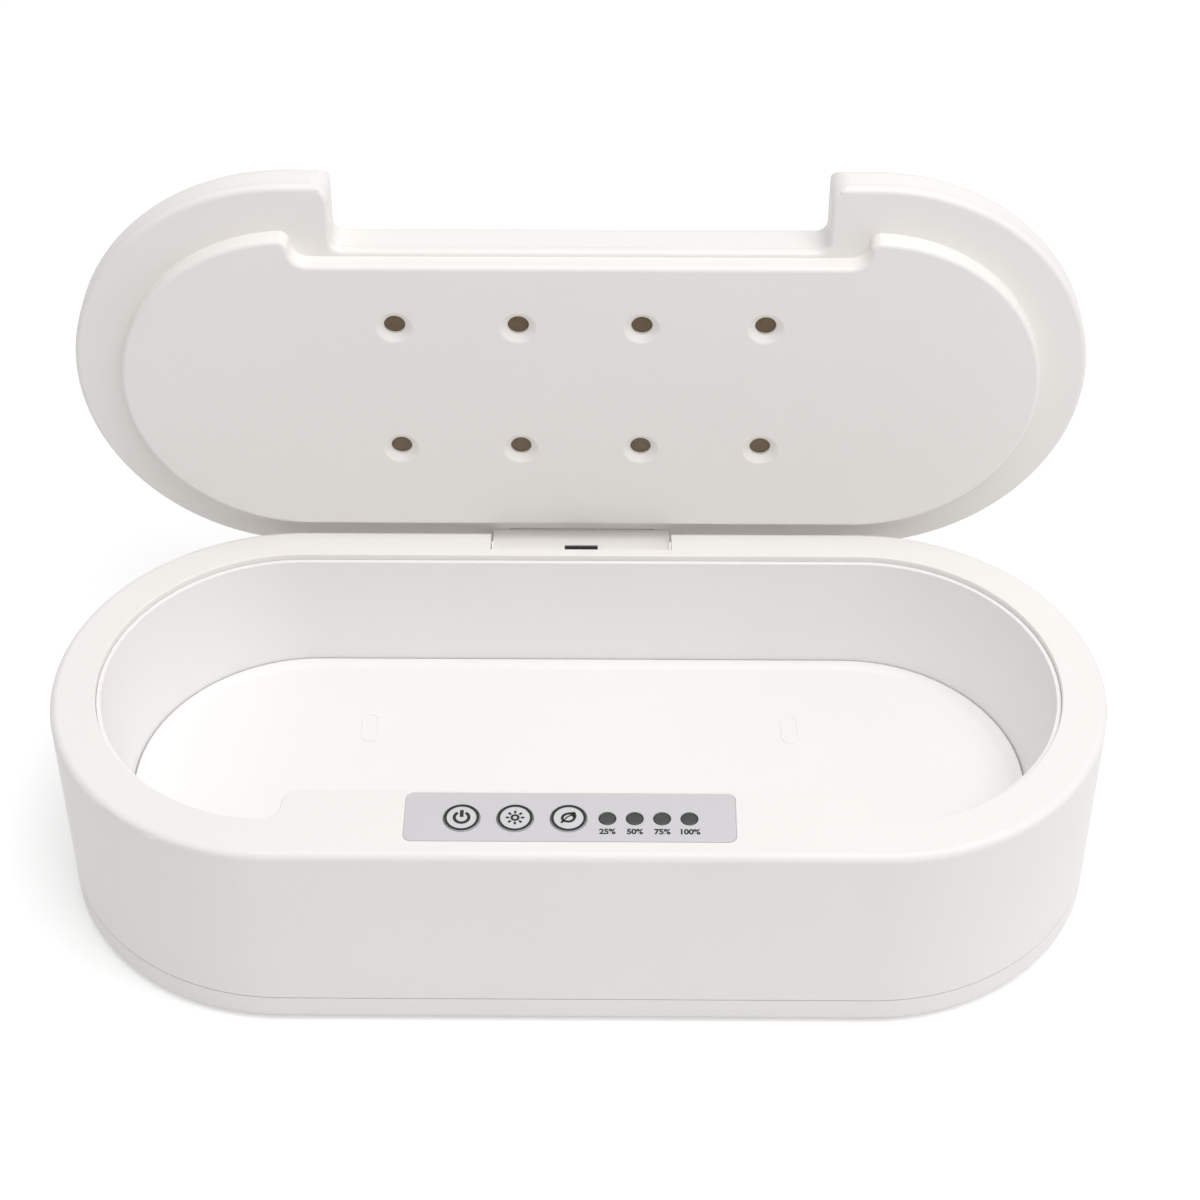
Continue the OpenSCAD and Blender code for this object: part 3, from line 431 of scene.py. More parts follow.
def paint_node(name, material):
    """Gives a node of the frame a finish."""
    mesh = NODES[name].data
    mesh.materials.clear()
    mesh.materials.append(material)


def everywhere(_point):
    """A test that every edge passes."""
    return True


def sharp_edges(bm, test):
    """Edges that turn sharply and whose middle passes the test."""
    return [edge for edge in bm.edges
            if len(edge.link_faces) == 2 and edge.calc_face_angle(0) > SHARP_TURN
            and test((edge.verts[0].co + edge.verts[1].co) / 2)]


def moulded_copy(node, piece_name, material, loops, rest=()):
    """A welded copy of a node whose sharp edges get radii.

    loops and rest list (radius, segments, test). A radius in rest gives way where faces are small. What
    stays sharp is marked so, and flat faces beside it shade flat.
    """
    bm = bmesh.new()
    bm.from_mesh(NODES[node].data)
    bmesh.ops.remove_doubles(bm, verts=bm.verts, dist=WELD)
    bmesh.ops.dissolve_limit(bm, angle_limit=FLAT_TURN, verts=bm.verts, edges=bm.edges)
    for yielding, rounds in ((False, loops), (True, rest)):
        for radius, segments, test in rounds:
            edges = sharp_edges(bm, test)
            if edges:
                bmesh.ops.bevel(bm, geom=edges, offset=radius, offset_type="OFFSET", segments=segments,
                                profile=0.5, affect="EDGES", clamp_overlap=yielding)
    for edge in sharp_edges(bm, everywhere):
        edge.smooth = False
    piece = object_from(bm, piece_name, material)
    even_normals(piece)
    return piece


def lathe(bm, profile, steps=64):
    """Adds a turned solid to bm from (radius, height) points that start and end on the axis."""
    rings = []
    for radius, height in profile:
        if radius == 0:
            rings.append([bm.verts.new((0, 0, height))])
            continue
        turns = [2 * math.pi * i / steps for i in range(steps)]
        rings.append([bm.verts.new((radius * math.cos(a), radius * math.sin(a), height)) for a in turns])
    for low, high in zip(rings, rings[1:]):
        for i in range(steps):
            j = (i + 1) % steps
            corners = [low[i % len(low)], low[j % len(low)], high[j % len(high)], high[i % len(high)]]
            unique = list(dict.fromkeys(corners))
            if len(unique) > 2:
                bm.faces.new(unique)
    bmesh.ops.recalc_face_normals(bm, faces=bm.faces)


def crowned(radius, height, steps):
    """Points of a low crown in a profile, from its rim at radius to the axis."""
    shares = [1 - i / steps for i in range(steps + 1)]
    return [(radius * share, -height * share ** 2) for share in shares]


def quarter(centre_r, centre_h, radius, start, steps=6):
    """Points of a quarter circle in a profile, from the angle start in degrees to start + 90."""
    angles = [math.radians(start + 90 * i / steps) for i in range(steps + 1)]
    return [(centre_r + radius * math.cos(a), centre_h + radius * math.sin(a)) for a in angles]


def moved(piece, matrix):
    """Puts a piece's place in its mesh."""
    piece.data.transform(matrix)
    return piece


def stroke(bm, points, width, low, high, closed=False):
    """Adds a flat printed line of a width along points, between two heights."""
    count = len(points)
    rows = []
    for i, point in enumerate(points):
        before = points[(i - 1) % count] if closed or i else point
        after = points[(i + 1) % count] if closed or i < count - 1 else point
        along = (Vector(after) - Vector(before)).normalized()
        side = Vector((-along.y, along.x)) * width / 2
        left = Vector(point) + side
        right = Vector(point) - side
        rows.append([bm.verts.new((p.x, p.y, h)) for h in (low, high) for p in (left, right)])
    for i in range(count if closed else count - 1):
        a = rows[i]
        b = rows[(i + 1) % count]
        for quad in ((a[2], a[3], b[3], b[2]), (a[1], a[0], b[0], b[1]),
                     (a[0], a[2], b[2], b[0]), (a[3], a[1], b[1], b[3])):
            bm.faces.new(quad)
    if not closed:
        for end in (rows[0], rows[-1]):
            bm.faces.new((end[0], end[1], end[3], end[2]))
    bmesh.ops.recalc_face_normals(bm, faces=bm.faces)


def filled(bm, points, low, high):
    """Adds a flat filled outline between two heights."""
    bottom = [bm.verts.new((x, y, low)) for x, y in points]
    top = [bm.verts.new((x, y, high)) for x, y in points]
    bm.faces.new(top)
    bm.faces.new(list(reversed(bottom)))
    for i in range(len(points)):
        j = (i + 1) % len(points)
        bm.faces.new((bottom[i], bottom[j], top[j], top[i]))
    bmesh.ops.recalc_face_normals(bm, faces=bm.faces)


def arc(centre, radius, start, end, steps=48):
    """Points of an arc from start to end, in degrees."""
    angles = [math.radians(start + (end - start) * i / steps) for i in range(steps + 1)]
    return [(centre[0] + radius * math.cos(a), centre[1] + radius * math.sin(a)) for a in angles]


def circle(centre, radius, steps=64):
    """Points of a closed circle."""
    return arc(centre, radius, 0, 360, steps)[:-1]


def grid_repeater(name):
    """A node tree that sets copies of an object on a grid and gives them a material."""
    tree = bpy.data.node_groups.new(name, "GeometryNodeTree")
    sockets = (("Source", "NodeSocketObject"), ("Columns", "NodeSocketInt"), ("Rows", "NodeSocketInt"),
               ("Width", "NodeSocketFloat"), ("Depth", "NodeSocketFloat"), ("Material", "NodeSocketMaterial"))
    for label, kind in sockets:
        tree.interface.new_socket(label, in_out="INPUT", socket_type=kind)
    tree.interface.new_socket("Geometry", in_out="OUTPUT", socket_type="NodeSocketGeometry")
    given = add_node(tree, "NodeGroupInput").outputs
    grid = add_node(tree, "GeometryNodeMeshGrid",
                    {"Vertices X": given["Columns"], "Vertices Y": given["Rows"],
                     "Size X": given["Width"], "Size Y": given["Depth"]})
    points = add_node(tree, "GeometryNodeMeshToPoints", {"Mesh": grid.outputs["Mesh"]})
    source = add_node(tree, "GeometryNodeObjectInfo", {"Object": given["Source"]})
    placed = add_node(tree, "GeometryNodeInstanceOnPoints",
                      {"Points": points.outputs[0], "Instance": source.outputs["Geometry"]})
    real = add_node(tree, "GeometryNodeRealizeInstances", {"Geometry": placed.outputs[0]})
    painted = add_node(tree, "GeometryNodeSetMaterial",
                       {"Geometry": real.outputs[0], "Material": given["Material"]})
    add_node(tree, "NodeGroupOutput", {"Geometry": painted.outputs[0]})
    return tree


def repeat_on_grid(name, source, columns, rows, width, depth, material):
    """A plain mesh of copies of source on a grid centred on the origin. source is removed."""
    carrier = bpy.data.objects.new(name + "_carrier", bpy.data.meshes.new(name + "_carrier"))
    bpy.context.scene.collection.objects.link(carrier)
    tree = grid_repeater(name + " grid")
    modifier = carrier.modifiers.new("Grid", "NODES")
    modifier.node_group = tree
    values = {"Source": source, "Columns": columns, "Rows": rows, "Width": width, "Depth": depth,
              "Material": material}
    for item in tree.interface.items_tree:
        if item.in_out == "INPUT":
            modifier[item.identifier] = values[item.name]
    carrier.update_tag()
    graph = bpy.context.evaluated_depsgraph_get()
    mesh = bpy.data.meshes.new_from_object(carrier.evaluated_get(graph))
    mesh.name = name
    bpy.data.objects.remove(carrier)
    bpy.data.objects.remove(source)
    piece = bpy.data.objects.new(name, mesh)
    bpy.context.scene.collection.objects.link(piece)
    if not mesh.materials:
        mesh.materials.append(material)
    mesh.shade_smooth()
    return piece


# The base


class UVBOX_OT_casing(bpy.types.Operator):
    """Round the edges of the base shell, bottom cover, tub and hinge block"""

    bl_idname = "uvbox.casing"
    bl_label = "Casing"

    def execute(self, context):
        casing = settings("casing")
        top = SHELL_HIGH.z

        def at_label(point):
            margin = 0.4 * MM
            inside = (LABEL_LOW.x - margin < point.x < LABEL_HIGH.x + margin
                      and LABEL_LOW.y - margin < point.y < LABEL_HIGH.y + margin)
            return inside and point.z > LABEL_LOW.z - margin

        def at_recess(point):
            return at_label(point) and point.z > top - NEAR

        def at_rim(point):
            pocket_reach = 6 * MM
            return point.z > top - NEAR and not at_label(point) and point.y < PIN.y - pocket_reach

        def elsewhere(point):
            return not at_label(point)

        def at_lip(point):
            return point.z > LIP_TOP - NEAR

        shell = moulded_copy("base_shell", "base_casing", FINISHES["shell"],
                             [(casing.rim_edge, 4, at_rim), (casing.label_edge, 3, at_recess)],
                             [(casing.fine_edge, 2, elsewhere)])
        set_piece(shell, "base", "warm_white_abs", "base_shell")
        cover = moulded_copy("bottom_cover", "bottom_tray", FINISHES["shell"], [],
                             [(casing.fine_edge, 2, everywhere)])
        set_piece(cover, "base", "warm_white_abs", "bottom_cover")
        tub = moulded_copy("cavity_tub", "cavity_liner", FINISHES["tub"],
                           [(casing.fine_edge, 3, at_lip)])
        set_piece(tub, "base", "soft_white_abs", "cavity_tub")
        arm = moulded_copy("hinge_arm", "hinge_block", FINISHES["shell"], [],
                           [(casing.fine_edge, 3, everywhere)])
        set_piece(arm, "lid", "warm_white_abs", "hinge_arm")
        return {"FINISHED"}


def tray_outline():
    """Rim vertices of the floor tray in order, from its packed outline."""
    bm = bmesh.new()
    bm.from_mesh(NODES["floor_tray"].data)
    bmesh.ops.remove_doubles(bm, verts=bm.verts, dist=WELD)
    low = TRAY_LOW.z + CLOSE
    edges = [edge for edge in bm.edges if all(corner.co.z < low for corner in edge.verts)
             and any(abs(face.normal.z) < 0.5 for face in edge.link_faces)]
    follow = {}
    for edge in edges:
        a, b = edge.verts
        follow.setdefault(a.index, []).append(b.index)
        follow.setdefault(b.index, []).append(a.index)
    bm.verts.ensure_lookup_table()
    start = next(iter(follow))
    loop = [start]
    previous, current = None, start
    while True:
        options = [i for i in follow[current] if i != previous]
        previous, current = current, options[0]
        if current == start:
            break
        loop.append(current)
    points = [Vector(bm.verts[i].co[:2]) for i in loop]
    bm.free()
    area = sum(a.x * b.y - b.x * a.y for a, b in zip(points, points[1:] + points[:1]))
    return points if area > 0 else points[::-1]


def inset_outline(points, distance):
    """The same points moved inwards along the outline's normals. points run anticlockwise."""
    count = len(points)
    moved_points = []
    for i in range(count):
        before = (points[i] - points[i - 1]).normalized()
        after = (points[(i + 1) % count] - points[i]).normalized()
        along = (before + after).normalized()
        moved_points.append(points[i] + Vector((-along.y, along.x)) * distance)
    return moved_points


class UVBOX_OT_floor_tray(bpy.types.Operator):
    """Build the cavity floor with its dished band and two oval pads"""

    bl_idname = "uvbox.floor_tray"
    bl_label = "Floor tray"

    def execute(self, context):
        casing = settings("casing")
        floor_z = TRAY_LOW.z + casing.tray_thickness
        outline = inset_outline(tray_outline(), -casing.tray_spread)
        steps = 10
        level = 0.2
        bm = bmesh.new()
        rings = [[bm.verts.new((p.x, p.y, TRAY_LOW.z)) for p in outline]]
        for i in range(steps + 1):
            share = i / steps
            fall = max((share - level) / (1 - level), 0)
            height = floor_z + casing.tray_rise * (1 + math.cos(math.pi * fall)) / 2
            points = inset_outline(outline, casing.tray_band * share)
            rings.append([bm.verts.new((p.x, p.y, height)) for p in points])
        for low, high in zip(rings, rings[1:]):
            for i in range(len(outline)):
                j = (i + 1) % len(outline)
                bm.faces.new((low[i], low[j], high[j], high[i]))
        bm.faces.new(rings[-1])
        bm.faces.new(list(reversed(rings[0])))
        bmesh.ops.recalc_face_normals(bm, faces=bm.faces)
        tray = object_from(bm, "cavity_floor", FINISHES["tub"])
        even_normals(tray)
        set_piece(tray, "base", "soft_white_abs", "floor_tray")

        bm = bmesh.new()
        half = casing.pad_width / 2
        straight = casing.pad_length / 2 - half
        for side in (-1, 1):
            x = side * casing.pad_reach
            path = [*arc((x, casing.pad_depth + straight), half, 0, 180, 24),
                    *arc((x, casing.pad_depth - straight), half, 180, 360, 24)]
            stroke(bm, path, casing.pad_wall, floor_z - NEAR, floor_z + casing.pad_rise, closed=True)
        edges = sharp_edges(bm, lambda point: point.z > floor_z + casing.pad_rise - CLOSE)
        bmesh.ops.bevel(bm, geom=edges, offset=casing.pad_edge, segments=2, profile=0.5, affect="EDGES")
        pads = object_from(bm, "floor_pads", FINISHES["tub"])
        set_piece(pads, "base", "soft_white_abs")
        return {"FINISHED"}


# The controls. Sizes inside a sign are shares of its width, and its lines are shares of its boldest line


def key_centre(node):
    """Centre of a key on its top face."""
    low, high = (Vector(corner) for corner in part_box(node))
    return Vector(((low.x + high.x) / 2, (low.y + high.y) / 2, high.z))


def power_sign(bm, size, width, low, high):
    """An open ring with a bar in its gap."""
    radius = (size - width) / 2
    stroke(bm, arc((0, 0), radius, 122, 418), width, low, high)
    stroke(bm, [(0, 0.02 * size), (0, 0.56 * size)], width * 1.15, low, high)


def sun_sign(bm, size, width, low, high):
    """A small ring with eight rays."""
    stroke(bm, circle((0, 0), size * 0.185), width * 0.78, low, high, closed=True)
    for i in range(8):
        turn = math.radians(45 * i)
        ray = Vector((math.cos(turn), math.sin(turn)))
        stroke(bm, [tuple(ray * size * 0.32), tuple(ray * size * 0.52)], width * 0.74, low, high)


def leaf_sign(bm, size, width, low, high):
    """A broad leaf in outline with its stem and a vein."""
    outline = ((-0.36, -0.05), (-0.33, 0.1), (-0.25, 0.22), (-0.12, 0.3), (0.05, 0.34), (0.33, 0.38),
               (0.36, 0.16), (0.33, -0.02), (0.25, -0.18), (0.12, -0.27), (-0.04, -0.29), (-0.19, -0.25),
               (-0.3, -0.16))
    blade = ((0.12, 0.33), (0.1, 0.19), (0.33, -0.02), (0.33, 0.38))
    vein = ((-0.2, -0.1), (-0.06, 0.07), (0.16, 0.22))
    stem = ((-0.42, -0.38), (-0.22, -0.18))
    stroke(bm, [(x * size, y * size) for x, y in outline], width * 0.92, low, high, closed=True)
    filled(bm, [(x * size, y * size) for x, y in blade], low, high)
    stroke(bm, [(x * size, y * size) for x, y in vein], width * 0.48, low, high)
    stroke(bm, [(x * size, y * size) for x, y in stem], width * 0.74, low, high)


SIGNS = {"power_key": power_sign, "uv_key": sun_sign, "eco_key": leaf_sign}


class UVBOX_OT_keys(bpy.types.Operator):
    """Build the three round keys with their printed rings and signs"""

    bl_idname = "uvbox.keys"
    bl_label = "Keys"

    def execute(self, context):
        controls = settings("controls")
        for node, sign in SIGNS.items():
            centre = key_centre(node)
            low, high = (Vector(corner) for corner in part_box(node))
            flange_r = (high.x - low.x) / 2
            radius = flange_r - controls.key_flange
            flange_top = SHELL_HIGH.z - controls.key_seat - centre.z
            flange_low = flange_top - controls.key_flange_depth
            stem_low = low.z - centre.z
            stem_r = controls.key_stem
            edge = controls.key_edge
            crown = crowned(radius - edge, controls.key_crown, 5)
            face = [(radius, -edge - controls.key_crown)]
            face += [(r, h - controls.key_crown) for r, h in quarter(radius - edge, -edge, edge, 0)[1:-1]]
            bm = bmesh.new()
            lathe(bm, [(0, stem_low), (stem_r, stem_low), (stem_r, flange_low), (flange_r, flange_low),
                       (flange_r, flange_top), (radius, flange_top), *face, *crown])
            cap = moved(object_from(bm, node + "_cap", FINISHES["key"]), Matrix.Translation(centre))
            even_normals(cap)
            set_piece(cap, node, "key_plastic", node)

            bm = bmesh.new()
            ink_low = -controls.key_crown
            ink_high = controls.print_height
            ring_lap = 0.1 * MM
            ring_r = radius - edge - controls.ring_width / 2 + ring_lap
            stroke(bm, circle((0, 0), ring_r, 96), controls.ring_width, ink_low, ink_high, closed=True)
            sign(bm, controls.sign_size, controls.stroke, ink_low, ink_high)
            marks = object_from(bm, node + "_print", FINISHES["ink"], smooth=False)
            set_piece(moved(marks, Matrix.Translation(centre)), node, "smoked_lens")
        return {"FINISHED"}


def number_mesh(words):
    """A mesh of a printed number, centred on the origin."""
    controls = settings("controls")
    digit_share = 0.7
    text = bpy.data.curves.new("number", "FONT")
    text.body = words
    text.size = controls.digit_height / digit_share
    text.align_x = "CENTER"
    text.align_y = "CENTER"
    text.offset = controls.digit_swell
    text.extrude = controls.print_height
    text.space_character = 0.98
    text.resolution_u = 4
    writing = bpy.data.objects.new("number", text)
    bpy.context.scene.collection.objects.link(writing)
    bpy.context.view_layer.update()
    graph = bpy.context.evaluated_depsgraph_get()
    mesh = bpy.data.meshes.new_from_object(writing.evaluated_get(graph))
    bpy.data.objects.remove(writing)
    return mesh


class UVBOX_OT_label(bpy.types.Operator):
    """Finish the label and print the numbers under the indicators"""

    bl_idname = "uvbox.label"
    bl_label = "Label"

    def execute(self, context):
        controls = settings("controls")
        label = moulded_copy("control_label", "control_plate", FINISHES["label"], [],
                             [(controls.film_edge, 2, everywhere)])
        set_piece(label, "base", "label_film", "control_label")
        row = (LENS_LOW.y + LENS_HIGH.y) / 2
        bm = bmesh.new()
        for i, x in enumerate(lens_places()):
            mesh = number_mesh(f"{(i + 1) * 100 // controls.lenses}%")
            mesh.transform(Matrix.Translation((x, row - controls.digit_drop, LABEL_HIGH.z)))
            bm.from_mesh(mesh)
        bmesh.ops.remove_doubles(bm, verts=bm.verts, dist=0.5 * WELD)
        border_r = lens_radius() + controls.lens_gap + controls.lens_border / 2
        for x in lens_places():
            stroke(bm, circle((x, row), border_r), controls.lens_border, LABEL_HIGH.z,
                   LABEL_HIGH.z + controls.print_height, closed=True)
        bmesh.ops.recalc_face_normals(bm, faces=bm.faces)
        writing = object_from(bm, "indicator_numbers", FINISHES["ink"], smooth=False)
        set_piece(writing, "base", "smoked_lens")
        return {"FINISHED"}


def lens_radius():
    """Radius of an indicator where it shows."""
    return (LENS_HIGH.y - LENS_LOW.y) / 2 - settings("controls").lens_flange


def lens_places():
    """Centres of the indicators along X."""
    count = settings("controls").lenses
    flange_r = (LENS_HIGH.y - LENS_LOW.y) / 2
    first = LENS_LOW.x + flange_r
    last = LENS_HIGH.x - flange_r
    return [first + (last - first) * i / (count - 1) for i in range(count)]


class UVBOX_OT_indicators(bpy.types.Operator):
    """Build the indicator lenses with a low crown"""

    bl_idname = "uvbox.indicators"
    bl_label = "Indicators"

    def execute(self, context):
        controls = settings("controls")
        flange_r = (LENS_HIGH.y - LENS_LOW.y) / 2
        radius = lens_radius()
        top = LENS_HIGH.z
        flange_top = SHELL_HIGH.z - controls.lens_seat - top
        flange_low = flange_top - controls.lens_flange_depth
        foot = LENS_LOW.z - top
        bm = bmesh.new()
        lathe(bm, [(0, foot), (radius, foot), (radius, flange_low), (flange_r, flange_low),
                   (flange_r, flange_top), (radius, flange_top),
                   (radius, -controls.lens_dome - controls.lens_edge),
                   *crowned(radius, controls.lens_dome, 6)], 48)
        source = object_from(bm, "lens_source", FINISHES["lens"])
        places = lens_places()
        lenses = repeat_on_grid("indicator_set", source, len(places), 1, places[-1] - places[0], 0,
                                FINISHES["lens"])
        middle = ((places[0] + places[-1]) / 2, (LENS_LOW.y + LENS_HIGH.y) / 2, top)
        moved(lenses, Matrix.Translation(middle))
        even_normals(lenses)
        set_piece(lenses, "base", "smoked_lens", "indicator_lenses")
        return {"FINISHED"}


# The lid


class UVBOX_OT_lid(bpy.types.Operator):
    """Round the edges of the lid's cover and inner panel"""

    bl_idname = "uvbox.lid"
    bl_label = "Lid"

    def execute(self, context):
        lid = settings("lid")
        back = COVER_LOW.y if abs(COVER_LOW.y) > abs(COVER_HIGH.y) else COVER_HIGH.y
        face = PANEL_LOW.y
        centres = window_places()

        def on_top(point):
            return abs(point.y - back) < NEAR

        def on_plate_rim(point):
            return abs(point.y - face) < CLOSE and not near_hole(point)

        def on_notch(point):
            band = face + lid.plate_depth
            return (abs(point.y - band) < NEAR and abs(point.x) < lid.notch_half
                    and point.z > PANEL_LOW.z + lid.notch_height)

        def near_hole(point):
            spot = Vector((point.x, point.z))
            return any((spot - centre).length < lid.sink_reach for centre in centres)

        def at_hole_mouth(point):
            return abs(point.y - face) < CLOSE and near_hole(point)

        cover = moulded_copy("lid_shell", "lid_cover", FINISHES["shell"],
                             [(lid.outer_edge, 4, on_top)])
        set_piece(cover, "lid", "warm_white_abs", "lid_shell")
        panel = moulded_copy("lid_panel", "lid_liner", FINISHES["shell"],
                             [(lid.plate_edge, 5, on_plate_rim), (lid.sink_edge, 3, at_hole_mouth),
                              (lid.band_edge, 4, on_notch)])
        set_piece(panel, "lid", "warm_white_abs", "lid_panel")
        return {"FINISHED"}


def window_places():
    """Centres of the windows on the lid's face, as (x, z)."""
    lid = settings("lid")
    radius = window_radius()
    spots = []
    for i in range(lid.columns):
        for j in range(lid.rows):
            x = WINDOW_LOW.x + radius + (WINDOW_HIGH.x - WINDOW_LOW.x - 2 * radius) * i / (lid.columns - 1)
            z = WINDOW_LOW.z + radius + (WINDOW_HIGH.z - WINDOW_LOW.z - 2 * radius) * j / (lid.rows - 1)
            spots.append(Vector((x, z)))
    return spots


def window_radius():
    """Radius of a window, from its bore and its seat."""
    lid = settings("lid")
    return lid.bore / 2 + lid.window_seat


class UVBOX_OT_windows(bpy.types.Operator):
    """Build the eight quartz windows"""

    bl_idname = "uvbox.windows"
    bl_label = "Windows"

    def execute(self, context):
        lid = settings("lid")
        radius = window_radius()
        thick = WINDOW_HIGH.y - WINDOW_LOW.y
        edge = lid.window_edge
        low_edge = quarter(radius - edge, edge, edge, 270)
        high_edge = quarter(radius - edge, thick - edge, edge, 0)
        bm = bmesh.new()
        lathe(bm, [(0, 0), *low_edge, *high_edge, (0, thick)], 48)
        source = object_from(bm, "window_source", FINISHES["window"])
        width = WINDOW_HIGH.x - WINDOW_LOW.x - 2 * radius
        depth = WINDOW_HIGH.z - WINDOW_LOW.z - 2 * radius
        windows = repeat_on_grid("window_set", source, lid.columns, lid.rows, width, depth,
                                 FINISHES["window"])
        turn = Matrix.Rotation(math.radians(-90), 4, "X")
        middle = Matrix.Translation((0, WINDOW_LOW.y, (WINDOW_LOW.z + WINDOW_HIGH.z) / 2))
        moved(windows, middle @ turn)
        even_normals(windows)
        set_piece(windows, "lid", "window_glass", "uv_windows")
        return {"FINISHED"}


# Small and inner parts


class UVBOX_OT_feet(bpy.types.Operator):
    """Build the four rubber feet"""

    bl_idname = "uvbox.feet"
    bl_label = "Feet"

    def execute(self, context):
        casing = settings("casing")
        radius = casing.foot_radius
        height = FEET_HIGH.z - FEET_LOW.z
        edge = casing.foot_edge
        bm = bmesh.new()
        lathe(bm, [(0, 0), *quarter(radius - edge, edge, edge, 270), (radius, height), (0, height)], 48)
        source = object_from(bm, "foot_source", FINISHES["rubber"])
        width = FEET_HIGH.x - FEET_LOW.x - 2 * radius
        depth = FEET_HIGH.y - FEET_LOW.y - 2 * radius
        feet = repeat_on_grid("foot_set", source, 2, 2, width, depth, FINISHES["rubber"])
        moved(feet, Matrix.Translation((0, 0, FEET_LOW.z)))
        even_normals(feet)
        set_piece(feet, "base", "foot_rubber", "rubber_feet")
        return {"FINISHED"}


INNER_FINISHES = {
    "control_board": "board", "main_board": "board", "lid_boards": "board", "lid_sensor": "board",
    "key_switches": "black", "battery_holder": "black", "indicator_leds": "resin", "uv_leds": "resin",
    "control_screws": "metal", "board_screws": "metal", "tub_screws": "metal", "cover_screws": "metal",
    "lid_board_screws": "metal", "arm_screws": "metal", "hinge_pin": "metal", "lid_magnet": "metal",
    "usb_socket": "metal", "cell_link": "metal", "battery_cells": "wrap", "battery_pad": "foam",
    "battery_leads": "jacket", "hinge_lead": "jacket", "lid_lead": "jacket", "control_ribbon": "ribbon",
    # The grommet's near-black finish is painted shade for the opening in the hinge block's slot
    "lead_grommet": "painted_slot_shade",
}


class UVBOX_OT_inside(bpy.types.Operator):
    """Give the fasteners and inner parts their finishes"""

    bl_idname = "uvbox.inside"
    bl_label = "Inside"

    def execute(self, context):
        for node, finish in INNER_FINISHES.items():
            paint_node(node, FINISHES[finish])
        return {"FINISHED"}


# The stage


def area_light(name, place, aim, size, power):
    """A square light panel that points at aim."""
    light = bpy.data.lights.new(name, "AREA")
    light.size = size
    light.energy = power
    lamp = bpy.data.objects.new(name, light)
    lamp.location = place
    lamp.rotation_euler = (Vector(aim) - Vector(place)).to_track_quat("-Z", "Y").to_euler()
    bpy.context.scene.collection.objects.link(lamp)


def white_where_seen(tree, seen, lit):
    """Mixes two shader sockets: seen by camera, mirror and glass rays, and lit by all others."""
    path = add_node(tree, "ShaderNodeLightPath").outputs
    either = add_node(tree, "ShaderNodeMath", operation="MAXIMUM")
    tree.links.new(path["Is Camera Ray"], either.inputs[0])
    tree.links.new(path["Is Glossy Ray"], either.inputs[1])
    any_seen = add_node(tree, "ShaderNodeMath", operation="MAXIMUM")
    tree.links.new(either.outputs[0], any_seen.inputs[0])
    tree.links.new(path["Is Transmission Ray"], any_seen.inputs[1])
    mix = add_node(tree, "ShaderNodeMixShader")
    tree.links.new(any_seen.outputs[0], mix.inputs[0])
    tree.links.new(lit, mix.inputs[1])
    tree.links.new(seen, mix.inputs[2])
    return mix.outputs[0]


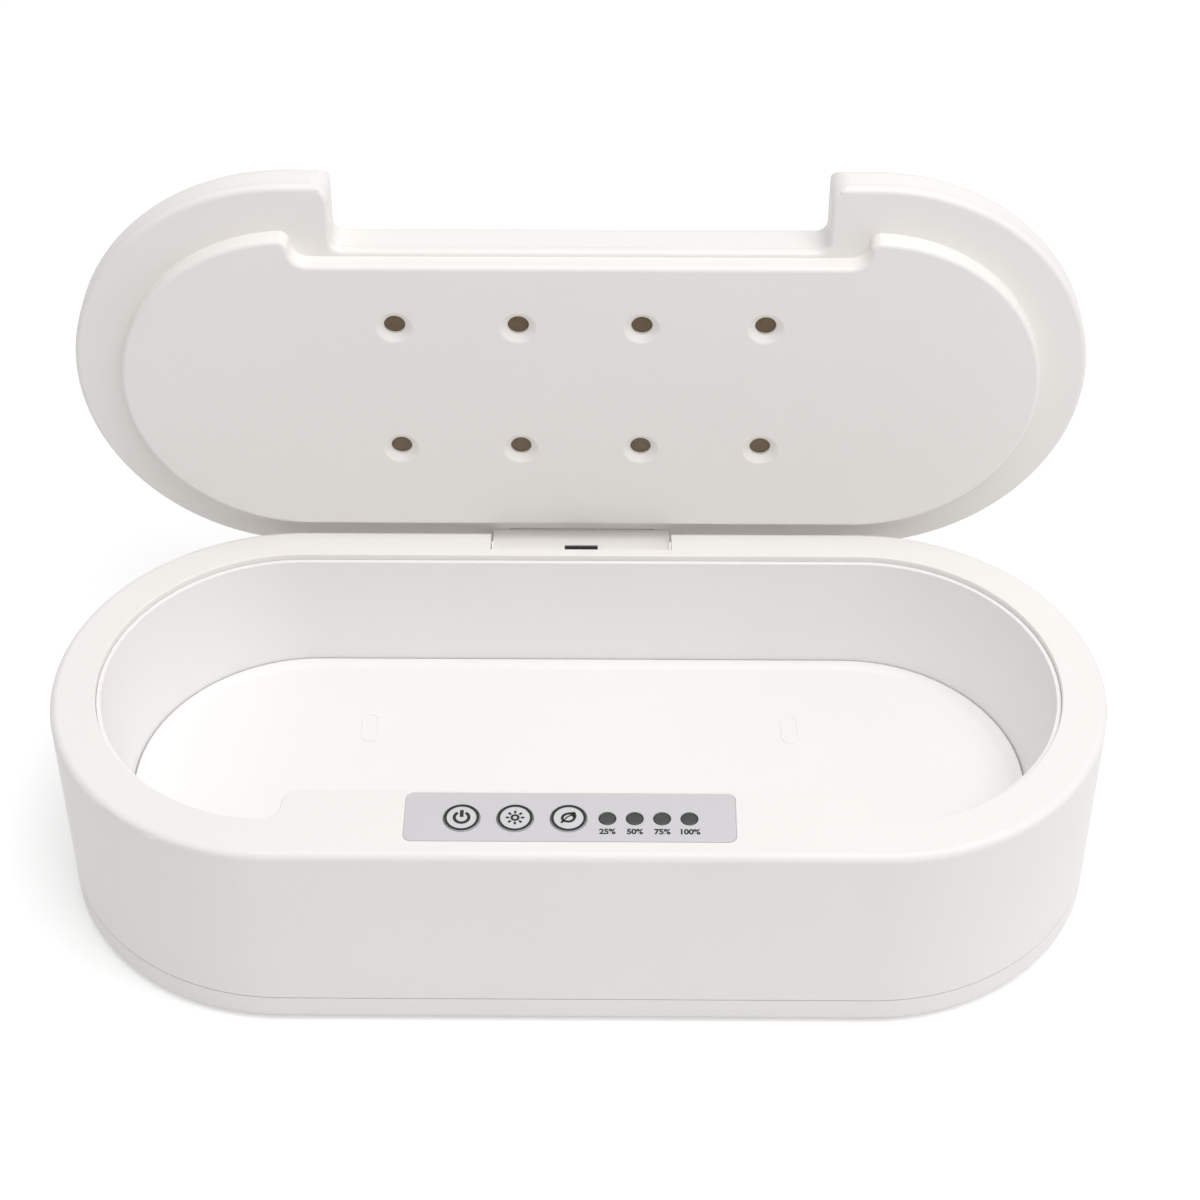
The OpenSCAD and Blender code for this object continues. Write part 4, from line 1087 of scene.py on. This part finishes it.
class UVBOX_OT_stage(bpy.types.Operator):
    """Build the floor, lights, world and camera"""

    bl_idname = "uvbox.stage"
    bl_label = "Stage"

    def execute(self, context):
        stage = settings("stage")
        scene = context.scene
        scene.view_settings.view_transform = "Standard"

        world = bpy.data.worlds.new("Even light")
        world.use_nodes = True
        tree = world.node_tree
        tree.nodes.clear()
        seen = add_node(tree, "ShaderNodeBackground", {"Color": (1, 1, 1, 1), "Strength": 1.0})
        lit = add_node(tree, "ShaderNodeBackground", {"Color": (1, 1, 1, 1), "Strength": stage.ambient})
        add_node(tree, "ShaderNodeOutputWorld",
                 {"Surface": white_where_seen(tree, seen.outputs[0], lit.outputs[0])})
        scene.world = world

        material, tree = new_material("Pale floor")
        diffuse = add_node(tree, "ShaderNodeBsdfDiffuse", {"Color": (0.9, 0.9, 0.9, 1)})
        glow = add_node(tree, "ShaderNodeEmission", {"Color": (1, 1, 1, 1), "Strength": stage.floor_glow})
        both = add_node(tree, "ShaderNodeAddShader")
        tree.links.new(diffuse.outputs[0], both.inputs[0])
        tree.links.new(glow.outputs[0], both.inputs[1])
        add_node(tree, "ShaderNodeOutputMaterial",
                 {"Surface": white_where_seen(tree, both.outputs[0], diffuse.outputs[0])})
        floor_half = 4.0
        bm = bmesh.new()
        bmesh.ops.create_grid(bm, x_segments=1, y_segments=1, size=floor_half)
        floor = object_from(bm, "floor", material, smooth=False)

        middle = (0, 0, 0.05)
        area_light("Key panel", place=(0.25, -0.35, 1.25), aim=middle, size=0.9, power=stage.key_power)
        area_light("Overhead panel", place=(0.15, 0.05, 1.3), aim=middle, size=0.9, power=stage.top_power)
        area_light("Side panel", place=(1.2, -0.25, 0.55), aim=(0, 0, 0.06), size=0.6, power=stage.side_power)

        camera = bpy.data.cameras.new("Camera")
        camera.lens = stage.camera_lens
        camera.sensor_width = 36
        viewer = bpy.data.objects.new("Camera", camera)
        viewer.location = stage.camera_place
        viewer.rotation_euler = (math.pi / 2 - stage.camera_pitch, 0, stage.camera_yaw)
        scene.collection.objects.link(viewer)
        scene.camera = viewer
        return {"FINISHED"}


class UVBOX_PT_panel(bpy.types.Panel):
    """Lists the steps that build the box"""

    bl_idname = "UVBOX_PT_panel"
    bl_label = "UV box"
    bl_space_type = "VIEW_3D"
    bl_region_type = "UI"
    bl_category = "UV box"

    def draw(self, context):
        for step in STEPS:
            self.layout.operator(step.bl_idname)


STEPS = (UVBOX_OT_finishes, UVBOX_OT_stage, UVBOX_OT_casing, UVBOX_OT_floor_tray, UVBOX_OT_label,
         UVBOX_OT_keys, UVBOX_OT_indicators, UVBOX_OT_lid, UVBOX_OT_windows, UVBOX_OT_feet,
         UVBOX_OT_inside)
GROUPS = {"casing": UvBoxCasing, "controls": UvBoxControls, "lid": UvBoxLid, "finish": UvBoxFinish,
          "stage": UvBoxStage}


def register():
    """Registers the classes and the scene's property groups."""
    for kind in (*GROUPS.values(), *STEPS, UVBOX_PT_panel):
        bpy.utils.register_class(kind)
    for name, kind in GROUPS.items():
        setattr(bpy.types.Scene, "uv_box_" + name, PointerProperty(type=kind))


def unregister():
    """Takes back what register did."""
    for name in GROUPS:
        delattr(bpy.types.Scene, "uv_box_" + name)
    for kind in (UVBOX_PT_panel, *reversed(STEPS), *reversed(list(GROUPS.values()))):
        bpy.utils.unregister_class(kind)


def main():
    """Builds everything."""
    register()
    for step in STEPS:
        family, action = step.bl_idname.split(".")
        getattr(getattr(bpy.ops, family), action)()


if __name__ == "__main__":
    main()
